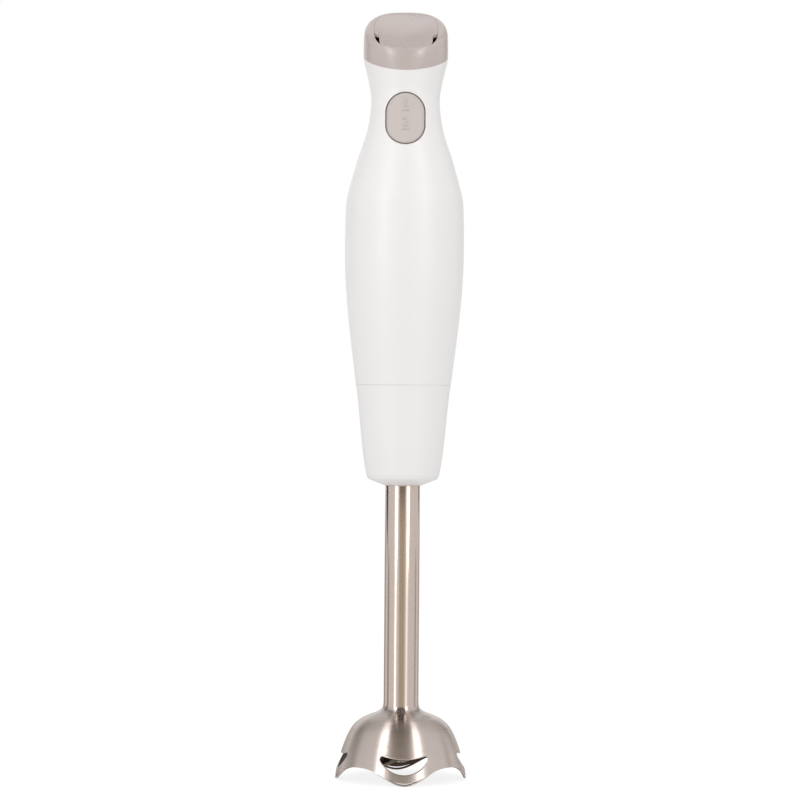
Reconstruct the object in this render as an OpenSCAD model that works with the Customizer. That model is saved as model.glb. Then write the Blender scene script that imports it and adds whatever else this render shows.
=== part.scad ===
// Immersion blender: a hand-held motor unit with a screw-on metal blending foot.
// Z is up, the button faces -Y, and the origin lies on the ground under the blade guard.

/* [Blade guard] */
// Radius of the guard's rim
guard_r = 32; // [30:0.5:35]
// Height of the guard from its feet to the neck
guard_h = 37; // [35:0.5:40]
// Thickness of the guard's sheet
guard_wall = 1; // [0.8:0.1:1.3]
// Height of the arches between the guard's feet
arch_h = 8.2; // [5:0.2:9]
// Height of each slot's lowest point above the ground
slot_low = 4.9; // [4:0.1:6]
// Height of each slot at its middle
slot_h = 7.9; // [6:0.1:9]
// Radius of the curve under each slot
slot_under_r = 13.8; // [13.5:0.1:16]
// Radius of the curve over each slot
slot_over_r = 34; // [28:1:60]
// Radius of the rounding at the ends of each slot
slot_end_r = 1.9; // [1.6:0.1:2.4]
// How narrow the guard's rounded feet are
foot_narrow = 2.6; // [2:0.1:3.4]
// How far round from the button the foot stands when it is tight
guard_turn = 3.5; // [0:0.5:10]

/* [Tube and drive shaft] */
// Radius of the foot's tube
tube_r = 8.5; // [8:0.1:9.2]
// Thickness of the tube's wall
tube_wall = 0.8; // [0.6:0.1:1]
// Length of tube that shows between the guard and the collar
tube_show = 105.8; // [80:0.5:130]
// Radius of the drive shaft
shaft_r = 2.5; // [2:0.1:3]
// Radial clearance between a shaft and its bush
running_gap = 0.04; // [0.02:0.01:0.08]
// Radial clearance between pieces that are fixed to each other
fixed_gap = 0.02; // [0.01:0.01:0.05]

/* [Blade] */
// Height of the blade's plate above the ground
blade_up = 11.5; // [10.5:0.1:13]
// Radius that the blade's tips reach
blade_r = 21; // [16:0.5:23]
// Thickness of the blade
blade_t = 1.5; // [1:0.1:2]
// Width of the blade at its middle
blade_w = 11; // [9:0.5:12]
// Upward bend of one wing and downward bend of the other
blade_bend = 14; // [5:1:18]
// Heading of the raised wing, from the button's right
blade_turn = 62; // [0:1:180]

/* [Foot collar] */
// Height of the collar from the tube to the seam
collar_h = 48.8; // [44:0.2:60]
// Radius of the collar where its side meets its bottom cone
collar_foot_r = 18; // [17:0.1:19]
// Thickness of the collar's wall
collar_wall = 2.2; // [1.8:0.1:2.6]
// Open seam between the collar and the motor housing
seam_gap = 0.3; // [0.2:0.05:0.5]

/* [Screw coupling] */
// Radius of the spigot that the collar screws onto
spigot_r = 15.5; // [15:0.1:15.8]
// Length of the spigot below the seam
spigot_h = 13; // [12:0.2:15]
// Height that the thread ridges stand out
ridge_h = 1.5; // [1:0.1:1.6]
// Thickness of a thread ridge along the axis
ridge_t = 2.2; // [1.6:0.1:2.6]
// Angle that a thread ridge spans
ridge_span = 50; // [40:1:60]
// Rise of the thread in one turn
thread_lead = 24; // [20:1:28]
// Clearance between the thread's flanks
flank_gap = 0.15; // [0.1:0.01:0.3]
// Clearance between a ridge and the wall that it faces
thread_gap = 0.3; // [0.2:0.05:0.5]

/* [Motor housing] */
// Radius at the seam over the collar
seam_r = 23.1; // [22.8:0.1:25]
// Height of the housing from the seam to the cap
housing_h = 157.4; // [150:0.5:170]
// Radius at the belly, where the hand holds
belly_r = 29; // [28:0.1:31]
// Height of the belly above the seam
belly_up = 66; // [60:1:72]
// Radius at the neck under the cap
neck_r = 16.7; // [16.2:0.1:18]
// Distance from the neck up to the cap
neck_down = 19; // [17:0.5:21]
// Radius at the cap
head_r = 20.6; // [20:0.1:22]
// Thickness of the housing's wall
housing_wall = 2.2; // [1.8:0.1:2.6]

/* [Cap] */
// Tilt of the seam between the housing and the cap
seam_tilt = 18; // [14:1:20]
// Tilt of the cap's upper face
face_tilt = 31.5; // [28:0.5:33]
// Height of the face above the seam, on the axis
face_up = 16.9; // [15:0.1:18]
// Radius of the rounding at the front of the face
cap_round_front = 4; // [3:0.1:5]
// Radius of the rounding at the back of the face
cap_round_back = 1.5; // [1:0.1:2.5]
// How far the cap's wall draws in at the back of its top
cap_draw = 2.2; // [1:0.1:3]
// Thickness of the cap's wall
cap_wall = 2; // [1.8:0.1:2.4]
// Width of the rim at the sides of the opening in the face
rim_w = 5.3; // [4.6:0.1:6]
// Width of the rim at the front of the opening
rim_front = 2.3; // [2:0.1:3]
// How far the opening's middle lies towards the front
opening_forward = 2.5; // [1.5:0.1:3]
// How square the opening's corners are
opening_square = 2.7; // [2:0.1:3.2]
// Width of the air vents at the sides of the panel
vent_w = 2.5; // [1.5:0.1:3]
// Depth of the panel under the rim
panel_drop = 0.5; // [0.3:0.1:1]
// Thickness of the panel
panel_t = 2; // [1.5:0.1:2.5]

/* [Button] */
// Width of the button
button_w = 18.2; // [16:0.2:19]
// Height of the button
button_h = 24.4; // [23:0.2:28]
// Distance from the button's middle up to the cap
button_down = 29; // [27:0.2:31]
// Gap round the button
button_gap = 0.6; // [0.4:0.05:0.8]
// How far the button stands out
button_proud = 0.5; // [0.3:0.1:0.8]
// Travel of the button and of the switch under it
button_travel = 2; // [1:0.1:2.2]

/* [Cord inlet] */
// Radius of the mains cord that the gland takes
cord_r = 3.5; // [3:0.1:3.8]
// Thickness of the gland's rubber
gland_wall = 1.3; // [1:0.1:1.6]

/* [Motor] */
// Radius of the motor's steel can
can_r = 19.5; // [18.5:0.1:19.8]
// Height of the can
can_h = 56; // [52:0.5:60]
// Thickness of the can
can_wall = 0.9; // [0.7:0.1:1.2]
// Radius of the armature
core_r = 12.5; // [11:0.1:13]
// Air gap between the armature and the magnets
air_gap = 0.6; // [0.4:0.1:1]
// Radius of the commutator
commutator_r = 6; // [5:0.1:7]
// Radius of the cooling fan
fan_r = 14; // [12:0.1:15]

/* [Hidden] */
$fn = 64;
// Far enough to cut through anything
far = 80;
// Overlap that makes two shapes of one piece a single solid
bite = 0.4;

// ---- Heights of the main pieces ----
tube_low = guard_h;
collar_low = tube_low + tube_show;
seam_z = collar_low + collar_h;
head_z = seam_z + housing_h;
face_z = head_z + face_up;
button_z = head_z - button_down;
neck_z = head_z - neck_down;

// ---- Curves ----
// One point of a Catmull-Rom curve through p1 and p2, at t from 0 to 1
function curve_point(p0, p1, p2, p3, t) =
    0.5 * (2 * p1 + (p2 - p0) * t + (2 * p0 - 5 * p1 + 4 * p2 - p3) * t * t
        + (3 * p1 - 3 * p2 + p3 - p0) * t * t * t);
// A smooth line through the points, with so many steps between each pair
function smooth_line(p, steps) = concat(
    [for (i = [0:len(p) - 2], k = [0:steps - 1])
        curve_point(p[max(i - 1, 0)], p[i], p[i + 1], p[min(i + 2, len(p) - 1)], k / steps)],
    [p[len(p) - 1]]);
function backwards(p) = [for (i = [len(p) - 1:-1:0]) p[i]];
function heading(p, i) = let (d = p[min(i + 1, len(p) - 1)] - p[max(i - 1, 0)]) d / norm(d);
// The line moved sideways by d, to its left
function beside(p, d) = [for (i = [0:len(p) - 1])
    let (h = heading(p, i)) p[i] + d * [-h[1], h[0]]];
// Points along an arc, without its two ends
function arc(r, centre, from, to, steps) = [for (i = [1:steps - 1])
    let (a = from + (to - from) * i / steps) centre + r * [cos(a), sin(a)]];
// The radius of an outline, listed as [radius, height], at height z
function radius_at(line, z) = lookup(z, [for (p = line) [p[1], p[0]]]);

// ---- Outlines, as [radius, height] ----
// The body from the seam up past the cap, all one flowing line
body_line = smooth_line([
    [seam_r, seam_z],
    [seam_r + (belly_r - seam_r) * 0.56, seam_z + belly_up * 0.4],
    [seam_r + (belly_r - seam_r) * 0.9, seam_z + belly_up * 0.72],
    [belly_r, seam_z + belly_up],
    [belly_r - 0.3, seam_z + belly_up + 19],
    [belly_r - 1.3, seam_z + belly_up + 27],
    [neck_r + (belly_r - neck_r) * 0.53, neck_z - 29],
    [neck_r + 1.7, neck_z - 14],
    [neck_r, neck_z],
    [neck_r + (head_r - neck_r) * 0.4, neck_z + 10.4],
    [head_r - 0.3, head_z],
    [head_r, head_z + 6],
    [head_r - 0.1, head_z + 12]
], 4);
body_top = head_z + 12;
collar_line = smooth_line([
    [collar_foot_r - 2, collar_low + 3],
    [collar_foot_r - 0.9, collar_low + 3.9],
    [collar_foot_r, collar_low + 6.2],
    [collar_foot_r + (seam_r - collar_foot_r) * 0.32, collar_low + 17],
    [collar_foot_r + (seam_r - collar_foot_r) * 0.8, collar_low + 41],
    [seam_r, collar_low + collar_h]
], 4);
// The guard from its neck down to its feet, as shares of the way from tube to rim and of the height
guard_line = smooth_line([for (p = [
    [0, 1], [0.022, 0.932], [0.12, 0.879], [0.319, 0.828], [0.489, 0.773], [0.638, 0.688],
    [0.745, 0.573], [0.843, 0.418], [0.915, 0.27], [0.974, 0.122], [1, 0]
]) [tube_r + (guard_r - tube_r) * p[0], guard_h * p[1]]], 3);

// ---- Shared shapes ----
module turned(line) { rotate_extrude() polygon(line); }
// A tube or ring, from one height to another
module ring(outer, inner, low, high) {
    translate([0, 0, low]) difference() {
        cylinder(r = outer, h = high - low);
        translate([0, 0, -1]) cylinder(r = inner, h = high - low + 2);
    }
}
module rod(r, low, high) { translate([0, 0, low]) cylinder(r = r, h = high - low); }
// A rod along Y, from the front to the back
module rod_y(r, x, z, front, back) {
    translate([x, front, z]) rotate([-90, 0, 0]) cylinder(r = r, h = back - front);
}
module block(x, y, z) {
    translate([x[0], y[0], z[0]]) cube([x[1] - x[0], y[1] - y[0], z[1] - z[0]]);
}
// The solid inside the body's outline, drawn in by a depth
module body_inside(depth, low = seam_z, high = body_top) {
    inside = [for (p = body_line) if (p[1] > low && p[1] < high) [p[0] - depth, p[1]]];
    turned(concat(
        [[0, low], [radius_at(body_line, low) - depth, low]], inside,
        [[radius_at(body_line, high) - depth, high], [0, high]]));
}
// Everything above or below a plane that tilts up towards the back
module above(z, tilt) {
    translate([0, 0, z]) rotate([tilt, 0, 0]) translate([-far, -far, 0]) cube(2 * far);
}
module below(z, tilt) {
    translate([0, 0, z]) rotate([tilt, 0, 0]) translate([-far, -far, -2 * far]) cube(2 * far);
}
// Height of a tilted plane over a place along Y
function plane_z(z, tilt, y) = z + y * tan(tilt);
// An upright oval, looking along Y, that reaches forward from the axis
module button_shape(w, h) {
    r = w / 2;
    translate([0, 0, button_z]) rotate([90, 0, 0]) linear_extrude(far / 2) union() {
        translate([0, h / 2 - r]) circle(r);
        translate([0, r - h / 2]) circle(r);
        translate([-r, r - h / 2]) square([w, h - w]);
    }
}
// A ridge that climbs along a thread: its middle starts at height z at angle 0
module thread_ridge(r_in, r_out, z, span) {
    steps = 10;
    flank = min(0.5, ridge_t / 5);
    half = ridge_t / 2;
    outward = r_out > r_in;
    profile = outward
        ? [[r_in, -half], [r_out, -half + flank], [r_out, half - flank], [r_in, half]]
        : [[r_in, half], [r_out, half - flank], [r_out, -half + flank], [r_in, -half]];
    points = [for (i = [0:steps], p = profile)
        let (a = span * (i / steps - 0.5))
        [p[0] * cos(a), p[0] * sin(a), z + p[1] + thread_lead * a / 360]];
    sides = [for (i = [0:steps - 1], k = [0:3])
        let (a = 4 * i + k, b = 4 * i + (k + 1) % 4) each [[a, b, b + 4], [a, b + 4, a + 4]]];
    last = 4 * steps;
    polyhedron(points, concat(sides, [[0, 3, 2], [0, 2, 1]],
        [[last, last + 1, last + 2], [last, last + 2, last + 3]]), convexity = 4);
}
// A coil of round wire along Z
module coil(r, wire_r, low, high, turns, ring_steps = 10, sides = 5) {
    count = turns * ring_steps;
    points = [for (i = [0:count], k = [0:sides - 1])
        let (a = 360 * i / ring_steps, b = 360 * k / sides, d = r + wire_r * cos(b))
        [d * cos(a), d * sin(a),
            low + wire_r + (high - low - 2 * wire_r) * i / count + wire_r * sin(b)]];
    skin = [for (i = [0:count - 1], k = [0:sides - 1])
        let (a = sides * i + k, b = sides * i + (k + 1) % sides)
        each [[a, b, b + sides], [a, b + sides, a + sides]]];
    last = sides * count;
    polyhedron(points, concat(skin, [[for (k = [sides - 1:-1:0]) k]],
        [[for (k = [0:sides - 1]) last + k]]), convexity = 10);
}
// A round strand through the points
module strand(points, r) {
    for (i = [0:len(points) - 2]) {
        d = points[i + 1] - points[i];
        translate(points[i]) rotate([0, acos(d[2] / norm(d)), atan2(d[1], d[0])])
            cylinder(r = r, h = norm(d));
        if (i > 0) translate(points[i]) sphere(r = r);
    }
}
// A pan-head screw whose head's underside is at the origin and whose point is up
module screw(head_r, head_h, r, length) {
    difference() {
        translate([0, 0, -head_h]) cylinder(r = head_r, h = head_h);
        translate([0, 0, -head_h - 1]) linear_extrude(1 + head_h / 2) union() {
            square([head_r * 1.3, head_r * 0.3], center = true);
            square([head_r * 0.3, head_r * 1.3], center = true);
        }
    }
    translate([0, 0, -bite]) cylinder(r = r, h = length - r + bite);
    translate([0, 0, length - r]) cylinder(r1 = r, r2 = 0.2, h = r);
}

// ---- Motor housing ----
ledge_z = seam_z + 4;
socket_floor_t = 3;
rib_low = seam_z + 34;
rib_high = seam_z + 78;
damper_t = 1.4;
module main_housing() color("white") {
    mouth = body_line[0];
    inner = [for (p = body_line) [p[0] - housing_wall, p[1]]];
    difference() {
        union() {
            turned(concat(body_line, backwards(inner)));
            // Ledge that the coupling socket is pushed up against
            intersection() {
                ring(mouth[0] + 2, mouth[0] - housing_wall - 1.2, ledge_z + 0.1, ledge_z + 1.6);
                body_inside(housing_wall / 2);
            }
            // Bead that the socket's flange snaps over
            intersection() {
                ring(mouth[0] + 2, flange_r - 0.3, seam_z, socket_top - socket_floor_t - 0.1);
                body_inside(housing_wall / 2);
            }
            // Ribs that centre the motor
            for (a = [45:90:315]) intersection() {
                rotate([0, 0, a])
                    block([can_r + damper_t + 0.1, far], [-0.8, 0.8], [rib_low, rib_high]);
                body_inside(housing_wall / 2);
            }
        }
        above(head_z, seam_tilt);
        button_shape(button_w + 2 * button_gap, button_h + 2 * button_gap);
    }
}

// ---- Cap ----
opening_w = head_r - rim_w;
opening_l = head_r - rim_front - opening_forward;
skirt_t = 1.5;
skirt_h = 5;
skirt_gap = 0.2;
gland_r = cord_r + gland_wall;
gland_flange_r = gland_r + 1.2;
gland_z = plane_z(head_z, seam_tilt, head_r) + gland_flange_r + 1.2;
gland_flange_t = 1.6;
boss_out = head_r + 0.2;
boss_in = head_r - cap_wall - 1.5;
// An oval with squared corners, as seen from above, round the opening's middle
module soft_square(w, l, square) {
    translate([0, -opening_forward]) polygon([for (a = [0:5:355])
        [w * sign(cos(a)) * pow(abs(cos(a)), 2 / square), l * sign(sin(a)) * pow(abs(sin(a)), 2 / square)]]);
}
// The cap's solid form, drawn in by a depth, from some way under its seam
module cap_form(depth, under) {
    hull() {
        intersection() {
            body_inside(depth, head_z - head_r * tan(seam_tilt) - 1 - under, body_top);
            above(head_z - under, seam_tilt);
            below(face_z - (cap_round_front + depth) / cos(face_tilt), face_tilt);
        }
        // The wall draws in and the rounding tightens from the front to the back
        for (a = [0:12:348]) {
            out = head_r - 0.6 - depth - cap_draw * pow(max(sin(a), 0), 6);
            round = (cap_round_back + cap_round_front) / 2 + (cap_round_back - cap_round_front) / 2 * sin(a);
            r = max(round - depth, 0.3);
            y = (out - r) * sin(a);
            translate([(out - r) * cos(a), y, plane_z(face_z, face_tilt, y) - (r + depth) / cos(face_tilt)])
                sphere(r = r, $fn = 24);
        }
    }
}
module top_cap() color([0.76, 0.71, 0.69]) {
    depth = housing_wall + skirt_gap;
    difference() {
        union() {
            difference() {
                cap_form(0, 0);
                cap_form(cap_wall, 1);
            }
            // Ring that joins the cap to its skirt
            intersection() {
                difference() {
                    body_inside(1, neck_z, body_top);
                    body_inside(depth + skirt_t, neck_z - 1, body_top + 1);
                }
                above(head_z, seam_tilt);
                below(head_z + 3, seam_tilt);
            }
            // Skirt that goes down into the housing
            intersection() {
                difference() {
                    body_inside(depth, neck_z, body_top);
                    body_inside(depth + skirt_t, neck_z - 1, body_top + 1);
                }
                above(head_z - skirt_h, seam_tilt);
                below(head_z + 1, seam_tilt);
            }
            // Flat seat for the cord gland
            rod_y(gland_flange_r + 0.5, 0, gland_z, boss_in, boss_out);
        }
        translate([0, 0, head_z]) linear_extrude(far)
            soft_square(opening_w, opening_l, opening_square);
        rod_y(gland_r + fixed_gap, 0, gland_z, boss_in - 1, boss_out + 1);
        // Room for the gland's inner bead
        rod_y(gland_r + 0.7, 0, gland_z, boss_in - 4, boss_in);
    }
    panel_ledge();
}
ledge_t = 1.5;
panel_low = (panel_drop + panel_t + 0.05) / cos(face_tilt);
// Ledge that the panel rests on, left open at the vents
module panel_ledge() {
    intersection() {
        translate([0, 0, head_z]) linear_extrude(far) difference() {
            circle(head_r);
            soft_square(opening_w - 1.5, opening_l - 1.5, opening_square);
        }
        below(face_z - panel_low, face_tilt);
        above(face_z - panel_low - ledge_t, face_tilt);
        cap_form(cap_wall - bite, 1);
        union() {
            block([-far, far], [2, far], [head_z, head_z + far]);
            block([-6, 6], [-far, 0], [head_z, head_z + far]);
        }
    }
}
// The panel's outline from above: full at the back, drawn in at the sides of the front
module panel_outline() {
    vent_back = opening_forward + 2.5;
    difference() {
        soft_square(opening_w - 0.15, opening_l - 0.15, opening_square);
        difference() {
            translate([-far, -2 * far - vent_back]) square(2 * far);
            soft_square(opening_w - vent_w, opening_l - 0.15, 3.9);
        }
    }
}
module cap_panel() color([0.78, 0.73, 0.71]) {
    intersection() {
        translate([0, 0, head_z]) linear_extrude(far) panel_outline();
        below(face_z - panel_drop / cos(face_tilt), face_tilt);
        above(face_z - (panel_drop + panel_t) / cos(face_tilt), face_tilt);
    }
}

// ---- Cord inlet ----
module cord_gland() color("dimgray") {
    neck = boss_out - boss_in;
    difference() {
        union() {
            rod_y(gland_flange_r, 0, gland_z, boss_out + 0.02, boss_out + gland_flange_t);
            rod_y(gland_r, 0, gland_z, boss_in - 1.5, boss_out + 0.5);
            rod_y(gland_r + 0.5, 0, gland_z, boss_in - 1.5, boss_in - 0.02);
        }
        rod_y(cord_r, 0, gland_z, boss_in - 3, boss_out + gland_flange_t + neck);
    }
}
clamp_z = head_z - 9;
clamp_w = 9;
clamp_h = 5;
clamp_screw_x = 6.5;
spine_back = 2.5;
groove_r = cord_r - 0.4;
clamp_t = groove_r + 1.5;
module cord_clamp() color("gainsboro") {
    front = spine_back + 2;
    difference() {
        block([-clamp_w, clamp_w], [front, front + clamp_t], [clamp_z, clamp_z + clamp_h]);
        translate([0, front, clamp_z - 1]) cylinder(r = groove_r, h = clamp_h + 2);
        for (x = [-clamp_screw_x, clamp_screw_x])
            rod_y(1.3, x, clamp_z + clamp_h / 2, front - 1, front + clamp_t + 1);
    }
}
module clamp_screws() color("silver") {
    for (x = [-clamp_screw_x, clamp_screw_x])
        translate([x, spine_back + 2.05 + clamp_t, clamp_z + clamp_h / 2])
            rotate([90, 0, 0]) screw(2, 1.2, 1.15, clamp_t + 3.5);
}

// ---- Motor ----
socket_top = ledge_z;
can_low = socket_top + 3;
can_high = can_low + can_h;
nose_r = 6.5;
nose_h = 4.5;
bearing_r = 5;
plate_t = 3;
plate_high = can_high + plate_t;
boss_high = plate_high + 5;
fan_low = boss_high + 1.5;
fan_high = fan_low + 5;
motor_shaft_r = 2.5;
core_low = can_low + 14;
core_high = core_low + 25;
winding_h = 6;
commutator_low = core_high + winding_h + 1;
commutator_high = can_high - 1;
magnet_in = core_r + air_gap;
motor_screw_r = 10;
module motor_can() color("silver") {
    hole_r = motor_shaft_r + 1;
    difference() {
        union() {
            rod(can_r, can_low, can_high);
            rod(nose_r, can_low - nose_h, can_low + bite);
        }
        rod(can_r - can_wall, can_low + can_wall, can_high + 1);
        rod(bearing_r + fixed_gap, can_low - nose_h + can_wall, can_low + 2);
        rod(hole_r, can_low - nose_h - 1, can_low);
        for (a = [0, 180]) rotate([0, 0, a])
            translate([motor_screw_r, 0, can_low - 1]) cylinder(r = 1.25, h = 4);
        // Cooling windows round the lower end
        for (a = [30:60:330]) rotate([0, 0, a])
            block([can_r - 3, can_r + 1], [-3, 3], [can_low + 4, can_low + 10]);
    }
}
module field_magnets() color([0.25, 0.25, 0.27]) {
    outer = can_r - can_wall - fixed_gap;
    intersection() {
        ring(outer, magnet_in, core_low - 2, core_high + 2);
        for (a = [0, 180]) rotate([0, 0, a]) translate([0, 0, core_low - 3])
            linear_extrude(core_high - core_low + 6) polygon([[0, 0], [far, -far * 1.5], [far, far * 1.5]]);
    }
}
module brush_plate() color([0.2, 0.22, 0.24]) {
    difference() {
        union() {
            rod(can_r, can_high + 0.02, plate_high);
            rod(bearing_r + 2, plate_high - bite, boss_high);
        }
        rod(bearing_r + fixed_gap, can_high + 2, boss_high + 1);
        rod(motor_shaft_r + 1, can_high - 1, can_high + 3);
        for (a = [45:90:315]) rotate([0, 0, a])
            translate([can_r - 5.5, 0, can_high - 1]) cylinder(r = 2.5, h = plate_t + 2);
        for (x = [-lead_x, lead_x])
            translate([x, 0, can_high - 1]) cylinder(r = lead_r + 0.2, h = plate_t + 2);
        for (y = [-frame_screw_y, frame_screw_y])
            translate([0, y, can_high + 0.8]) cylinder(r = 1.1, h = plate_t);
    }
}
holder_low = commutator_low + 1;
holder_high = can_high;
brush_y = 2;
brush_z = (holder_low + holder_high) / 2;
brush_half = min(3, (holder_high - holder_low) / 2 - 0.8);
brush_long = 6;
brush_out = commutator_r + 0.1 + brush_long;
holder_out = can_r - can_wall - 0.6;
module both_sides() { children(); mirror([1, 0, 0]) children(); }
module brush_holders() color("goldenrod") {
    both_sides() difference() {
        block([commutator_r + 1.2, holder_out], [-brush_y - 0.7, brush_y + 0.7], [holder_low, holder_high]);
        block([commutator_r, holder_out - 0.6], [-brush_y - 0.05, brush_y + 0.05],
            [brush_z - brush_half - 0.05, brush_z + brush_half + 0.05]);
    }
}
module carbon_brushes() color([0.15, 0.15, 0.15]) {
    both_sides() difference() {
        block([commutator_r - 1, brush_out], [-brush_y, brush_y],
            [brush_z - brush_half, brush_z + brush_half]);
        rod(commutator_r + 0.1, brush_z - far / 2, brush_z + far / 2);
    }
}
module brush_springs() color("silver") {
    both_sides() translate([0, 0, brush_z]) rotate([0, 90, 0])
        coil(1.3, 0.25, brush_out + 0.05, holder_out - 0.65, 4, 8, 4);
}
module upper_motor_bearing() color("darkgoldenrod") {
    ring(bearing_r, motor_shaft_r + running_gap, can_high + 2.05, boss_high - 0.2);
}
module lower_motor_bearing() color("darkgoldenrod") {
    ring(bearing_r, motor_shaft_r + running_gap, can_low - nose_h + can_wall + 0.05, can_low + 1);
}
module lower_damper() color([0.2, 0.2, 0.2]) {
    difference() {
        ring(can_r - 2, nose_r + 0.5, socket_top + 0.05, can_low - 0.05);
        for (a = [0, 180]) rotate([0, 0, a])
            translate([motor_screw_r, 0, socket_top - 1]) cylinder(r = 2, h = 6);
    }
}
module upper_damper() color([0.2, 0.2, 0.2]) {
    ring(can_r + damper_t, can_r + 0.05, rib_low + 4, rib_low + 12);
}

// ---- Armature, which turns in the motor's bearings ----
coupling_high = socket_top - socket_floor_t - 0.5;
spline_high = seam_z - 2;
spline_low = seam_z - 11;
spline_root = 3.4;
spline_tip = 4.8;
spline_w = 2;
spline_gap = 0.2;
// A six-toothed spline, grown by a clearance
module spline(grow) {
    union() {
        circle(spline_root + grow);
        for (a = [0:60:300]) rotate(a) translate([0, -spline_w / 2 - grow])
            square([spline_tip + grow, spline_w + 2 * grow]);
    }
}
module armature_shaft() color("silver") { rod(motor_shaft_r, spline_low + 2, fan_high + 1); }
module armature_core() color([0.45, 0.45, 0.47]) {
    difference() {
        ring(core_r, motor_shaft_r + fixed_gap, core_low, core_high);
        for (a = [0:36:324]) rotate([0, 0, a]) {
            block([core_r - 1.6, core_r + 1], [-0.5, 0.5], [core_low - 1, core_high + 1]);
            translate([core_r - 3.4, 0, core_low - 1]) cylinder(r = 2, h = core_high - core_low + 2);
        }
    }
}
module winding_end(low, high) {
    round_r = (high - low) / 2;
    middle_r = core_r - 1.2 - round_r;
    rotate_extrude() union() {
        translate([middle_r, (low + high) / 2]) circle(round_r);
        translate([motor_shaft_r + 1, low]) square([middle_r - motor_shaft_r - 1, high - low]);
    }
}
module armature_windings() color([0.72, 0.4, 0.2]) {
    winding_end(core_low - winding_h, core_low - 0.05);
    winding_end(core_high + 0.05, core_high + winding_h);
}
module commutator() color("peru") {
    difference() {
        ring(commutator_r, motor_shaft_r + fixed_gap, commutator_low, commutator_high);
        for (a = [0:36:324]) rotate([0, 0, a + 18])
            block([commutator_r - 0.8, commutator_r + 1], [-0.25, 0.25],
                [commutator_low + 2, commutator_high + 1]);
    }
}
module cooling_fan() color([0.85, 0.85, 0.8]) {
    difference() {
        union() {
            rod(4, fan_low, fan_high);
            rod(fan_r, fan_low, fan_low + 1.2);
            for (a = [0:40:320]) rotate([0, 0, a])
                translate([3, 0, fan_low + 1.2 - bite]) rotate([0, 0, 12])
                    cube([fan_r - 4, 1, fan_high - fan_low - 1.2 + bite]);
        }
        rod(motor_shaft_r + fixed_gap, fan_low - 1, fan_high + 1);
    }
}
module drive_coupling() color([0.2, 0.2, 0.22]) {
    difference() {
        union() {
            rod(7, spline_high, coupling_high);
            translate([0, 0, spline_low]) linear_extrude(spline_high - spline_low + bite) spline(0);
        }
        rod(motor_shaft_r + fixed_gap, spline_low + 2 - 0.05, coupling_high + 1);
    }
}

// ---- Coupling socket: the motor unit's lower end, with the thread ----
spigot_low = seam_z - spigot_h;
spigot_wall = 2;
flange_r = seam_r - housing_wall - 0.3;
collar_bore = spigot_r + ridge_h + thread_gap;
// Middles of the ridges at the middle of their span, on the spigot and in the collar
male_z = spigot_low + 1 + ridge_t / 2 + thread_lead * ridge_span / 720;
female_z = male_z + ridge_t + flank_gap;
module coupling_socket() color("whitesmoke") {
    difference() {
        union() {
            ring(spigot_r, spigot_r - spigot_wall, spigot_low, socket_top - socket_floor_t + bite);
            rod(flange_r, socket_top - socket_floor_t, socket_top);
            for (a = [0, 120, 240]) rotate([0, 0, a])
                thread_ridge(spigot_r - 0.5, spigot_r + ridge_h, male_z, ridge_span);
        }
        rod(nose_r + 0.3, seam_z - far, socket_top + 1);
        for (a = [0, 180]) rotate([0, 0, a])
            translate([motor_screw_r, 0, seam_z - 2]) cylinder(r = 1.7, h = 8);
    }
}
module motor_screws() color("silver") {
    for (a = [0, 180]) rotate([0, 0, a]) translate([motor_screw_r, 0, socket_top - socket_floor_t - 0.05])
        screw(2.4, 1.6, 1.2, can_low - socket_top + socket_floor_t + 2.2);
}

// ---- Inner frame, with the switch, the board and the cord clamp ----
frame_ring_in = fan_r + 2;
frame_ring_out = can_r - 0.2;
frame_screw_y = (frame_ring_in + frame_ring_out) / 2;
lead_x = frame_ring_out - 0.6;
lead_r = 0.9;
deck_low = fan_high + 2;
deck_high = deck_low + 2.5;
spine_w = 9.5;
switch_front = -6.5;
switch_w = 7;
switch_h = 12.8;
plunger_r = 1.5;
plunger_tip = switch_front - button_travel - 1;
board_w = 14;
board_low = deck_high + 2;
board_room = 4;
board_high = button_z - switch_h / 2 - board_room;
board_h = board_high - board_low;
board_front = -2.6;
board_back = -1;
spring_x = 6;
module inner_frame() color("lightgray") {
    difference() {
        union() {
            ring(frame_ring_out, frame_ring_in, plate_high + 0.05, deck_low + bite);
            rod(frame_ring_out, deck_low, deck_high);
            block([-board_w, board_w], [0, spine_back], [deck_high - bite, board_high + 1]);
            block([-spine_w, spine_w], [0, spine_back], [board_high, clamp_z + clamp_h + 1]);
            // Pillars under the circuit board
            for (x = [-board_w + 3, board_w - 3], z = [board_low + 3, board_high - 3])
                rod_y(1.8, x, z, board_back, bite);
            // Posts inside the button's springs
            both_sides() rod_y(1.1, spring_x, button_z, -3, bite);
            // Seat of the cord clamp
            block([-clamp_w, clamp_w], [spine_back - bite, spine_back + 2], [clamp_z, clamp_z + clamp_h]);
        }
        // Windows that let the fan's air out
        for (a = [0:60:300]) rotate([0, 0, a])
            block([frame_ring_in - 2, far / 2], [-4, 4], [fan_low, fan_high]);
        for (a = [45, 90, 135, 225, 270, 315]) rotate([0, 0, a])
            translate([frame_ring_in - 5, 0, deck_low - 1]) cylinder(r = 2.4, h = 5);
        translate([0, spine_back + 2, clamp_z - 1]) cylinder(r = groove_r, h = clamp_h + 2);
        for (x = [-clamp_screw_x, clamp_screw_x])
            rod_y(1.25, x, clamp_z + clamp_h / 2, spine_back - 3, spine_back + 3);
        // Holes for the screws into the brush plate
        for (y = [-frame_screw_y, frame_screw_y])
            translate([0, y, plate_high - 1]) cylinder(r = 1.1, h = deck_high - plate_high + 2);
        // Ways for the motor's leads
        for (x = [-lead_x, lead_x])
            translate([x, 0, plate_high - 1]) cylinder(r = lead_r + 0.3, h = deck_high - plate_high + 2);
    }
}
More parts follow.
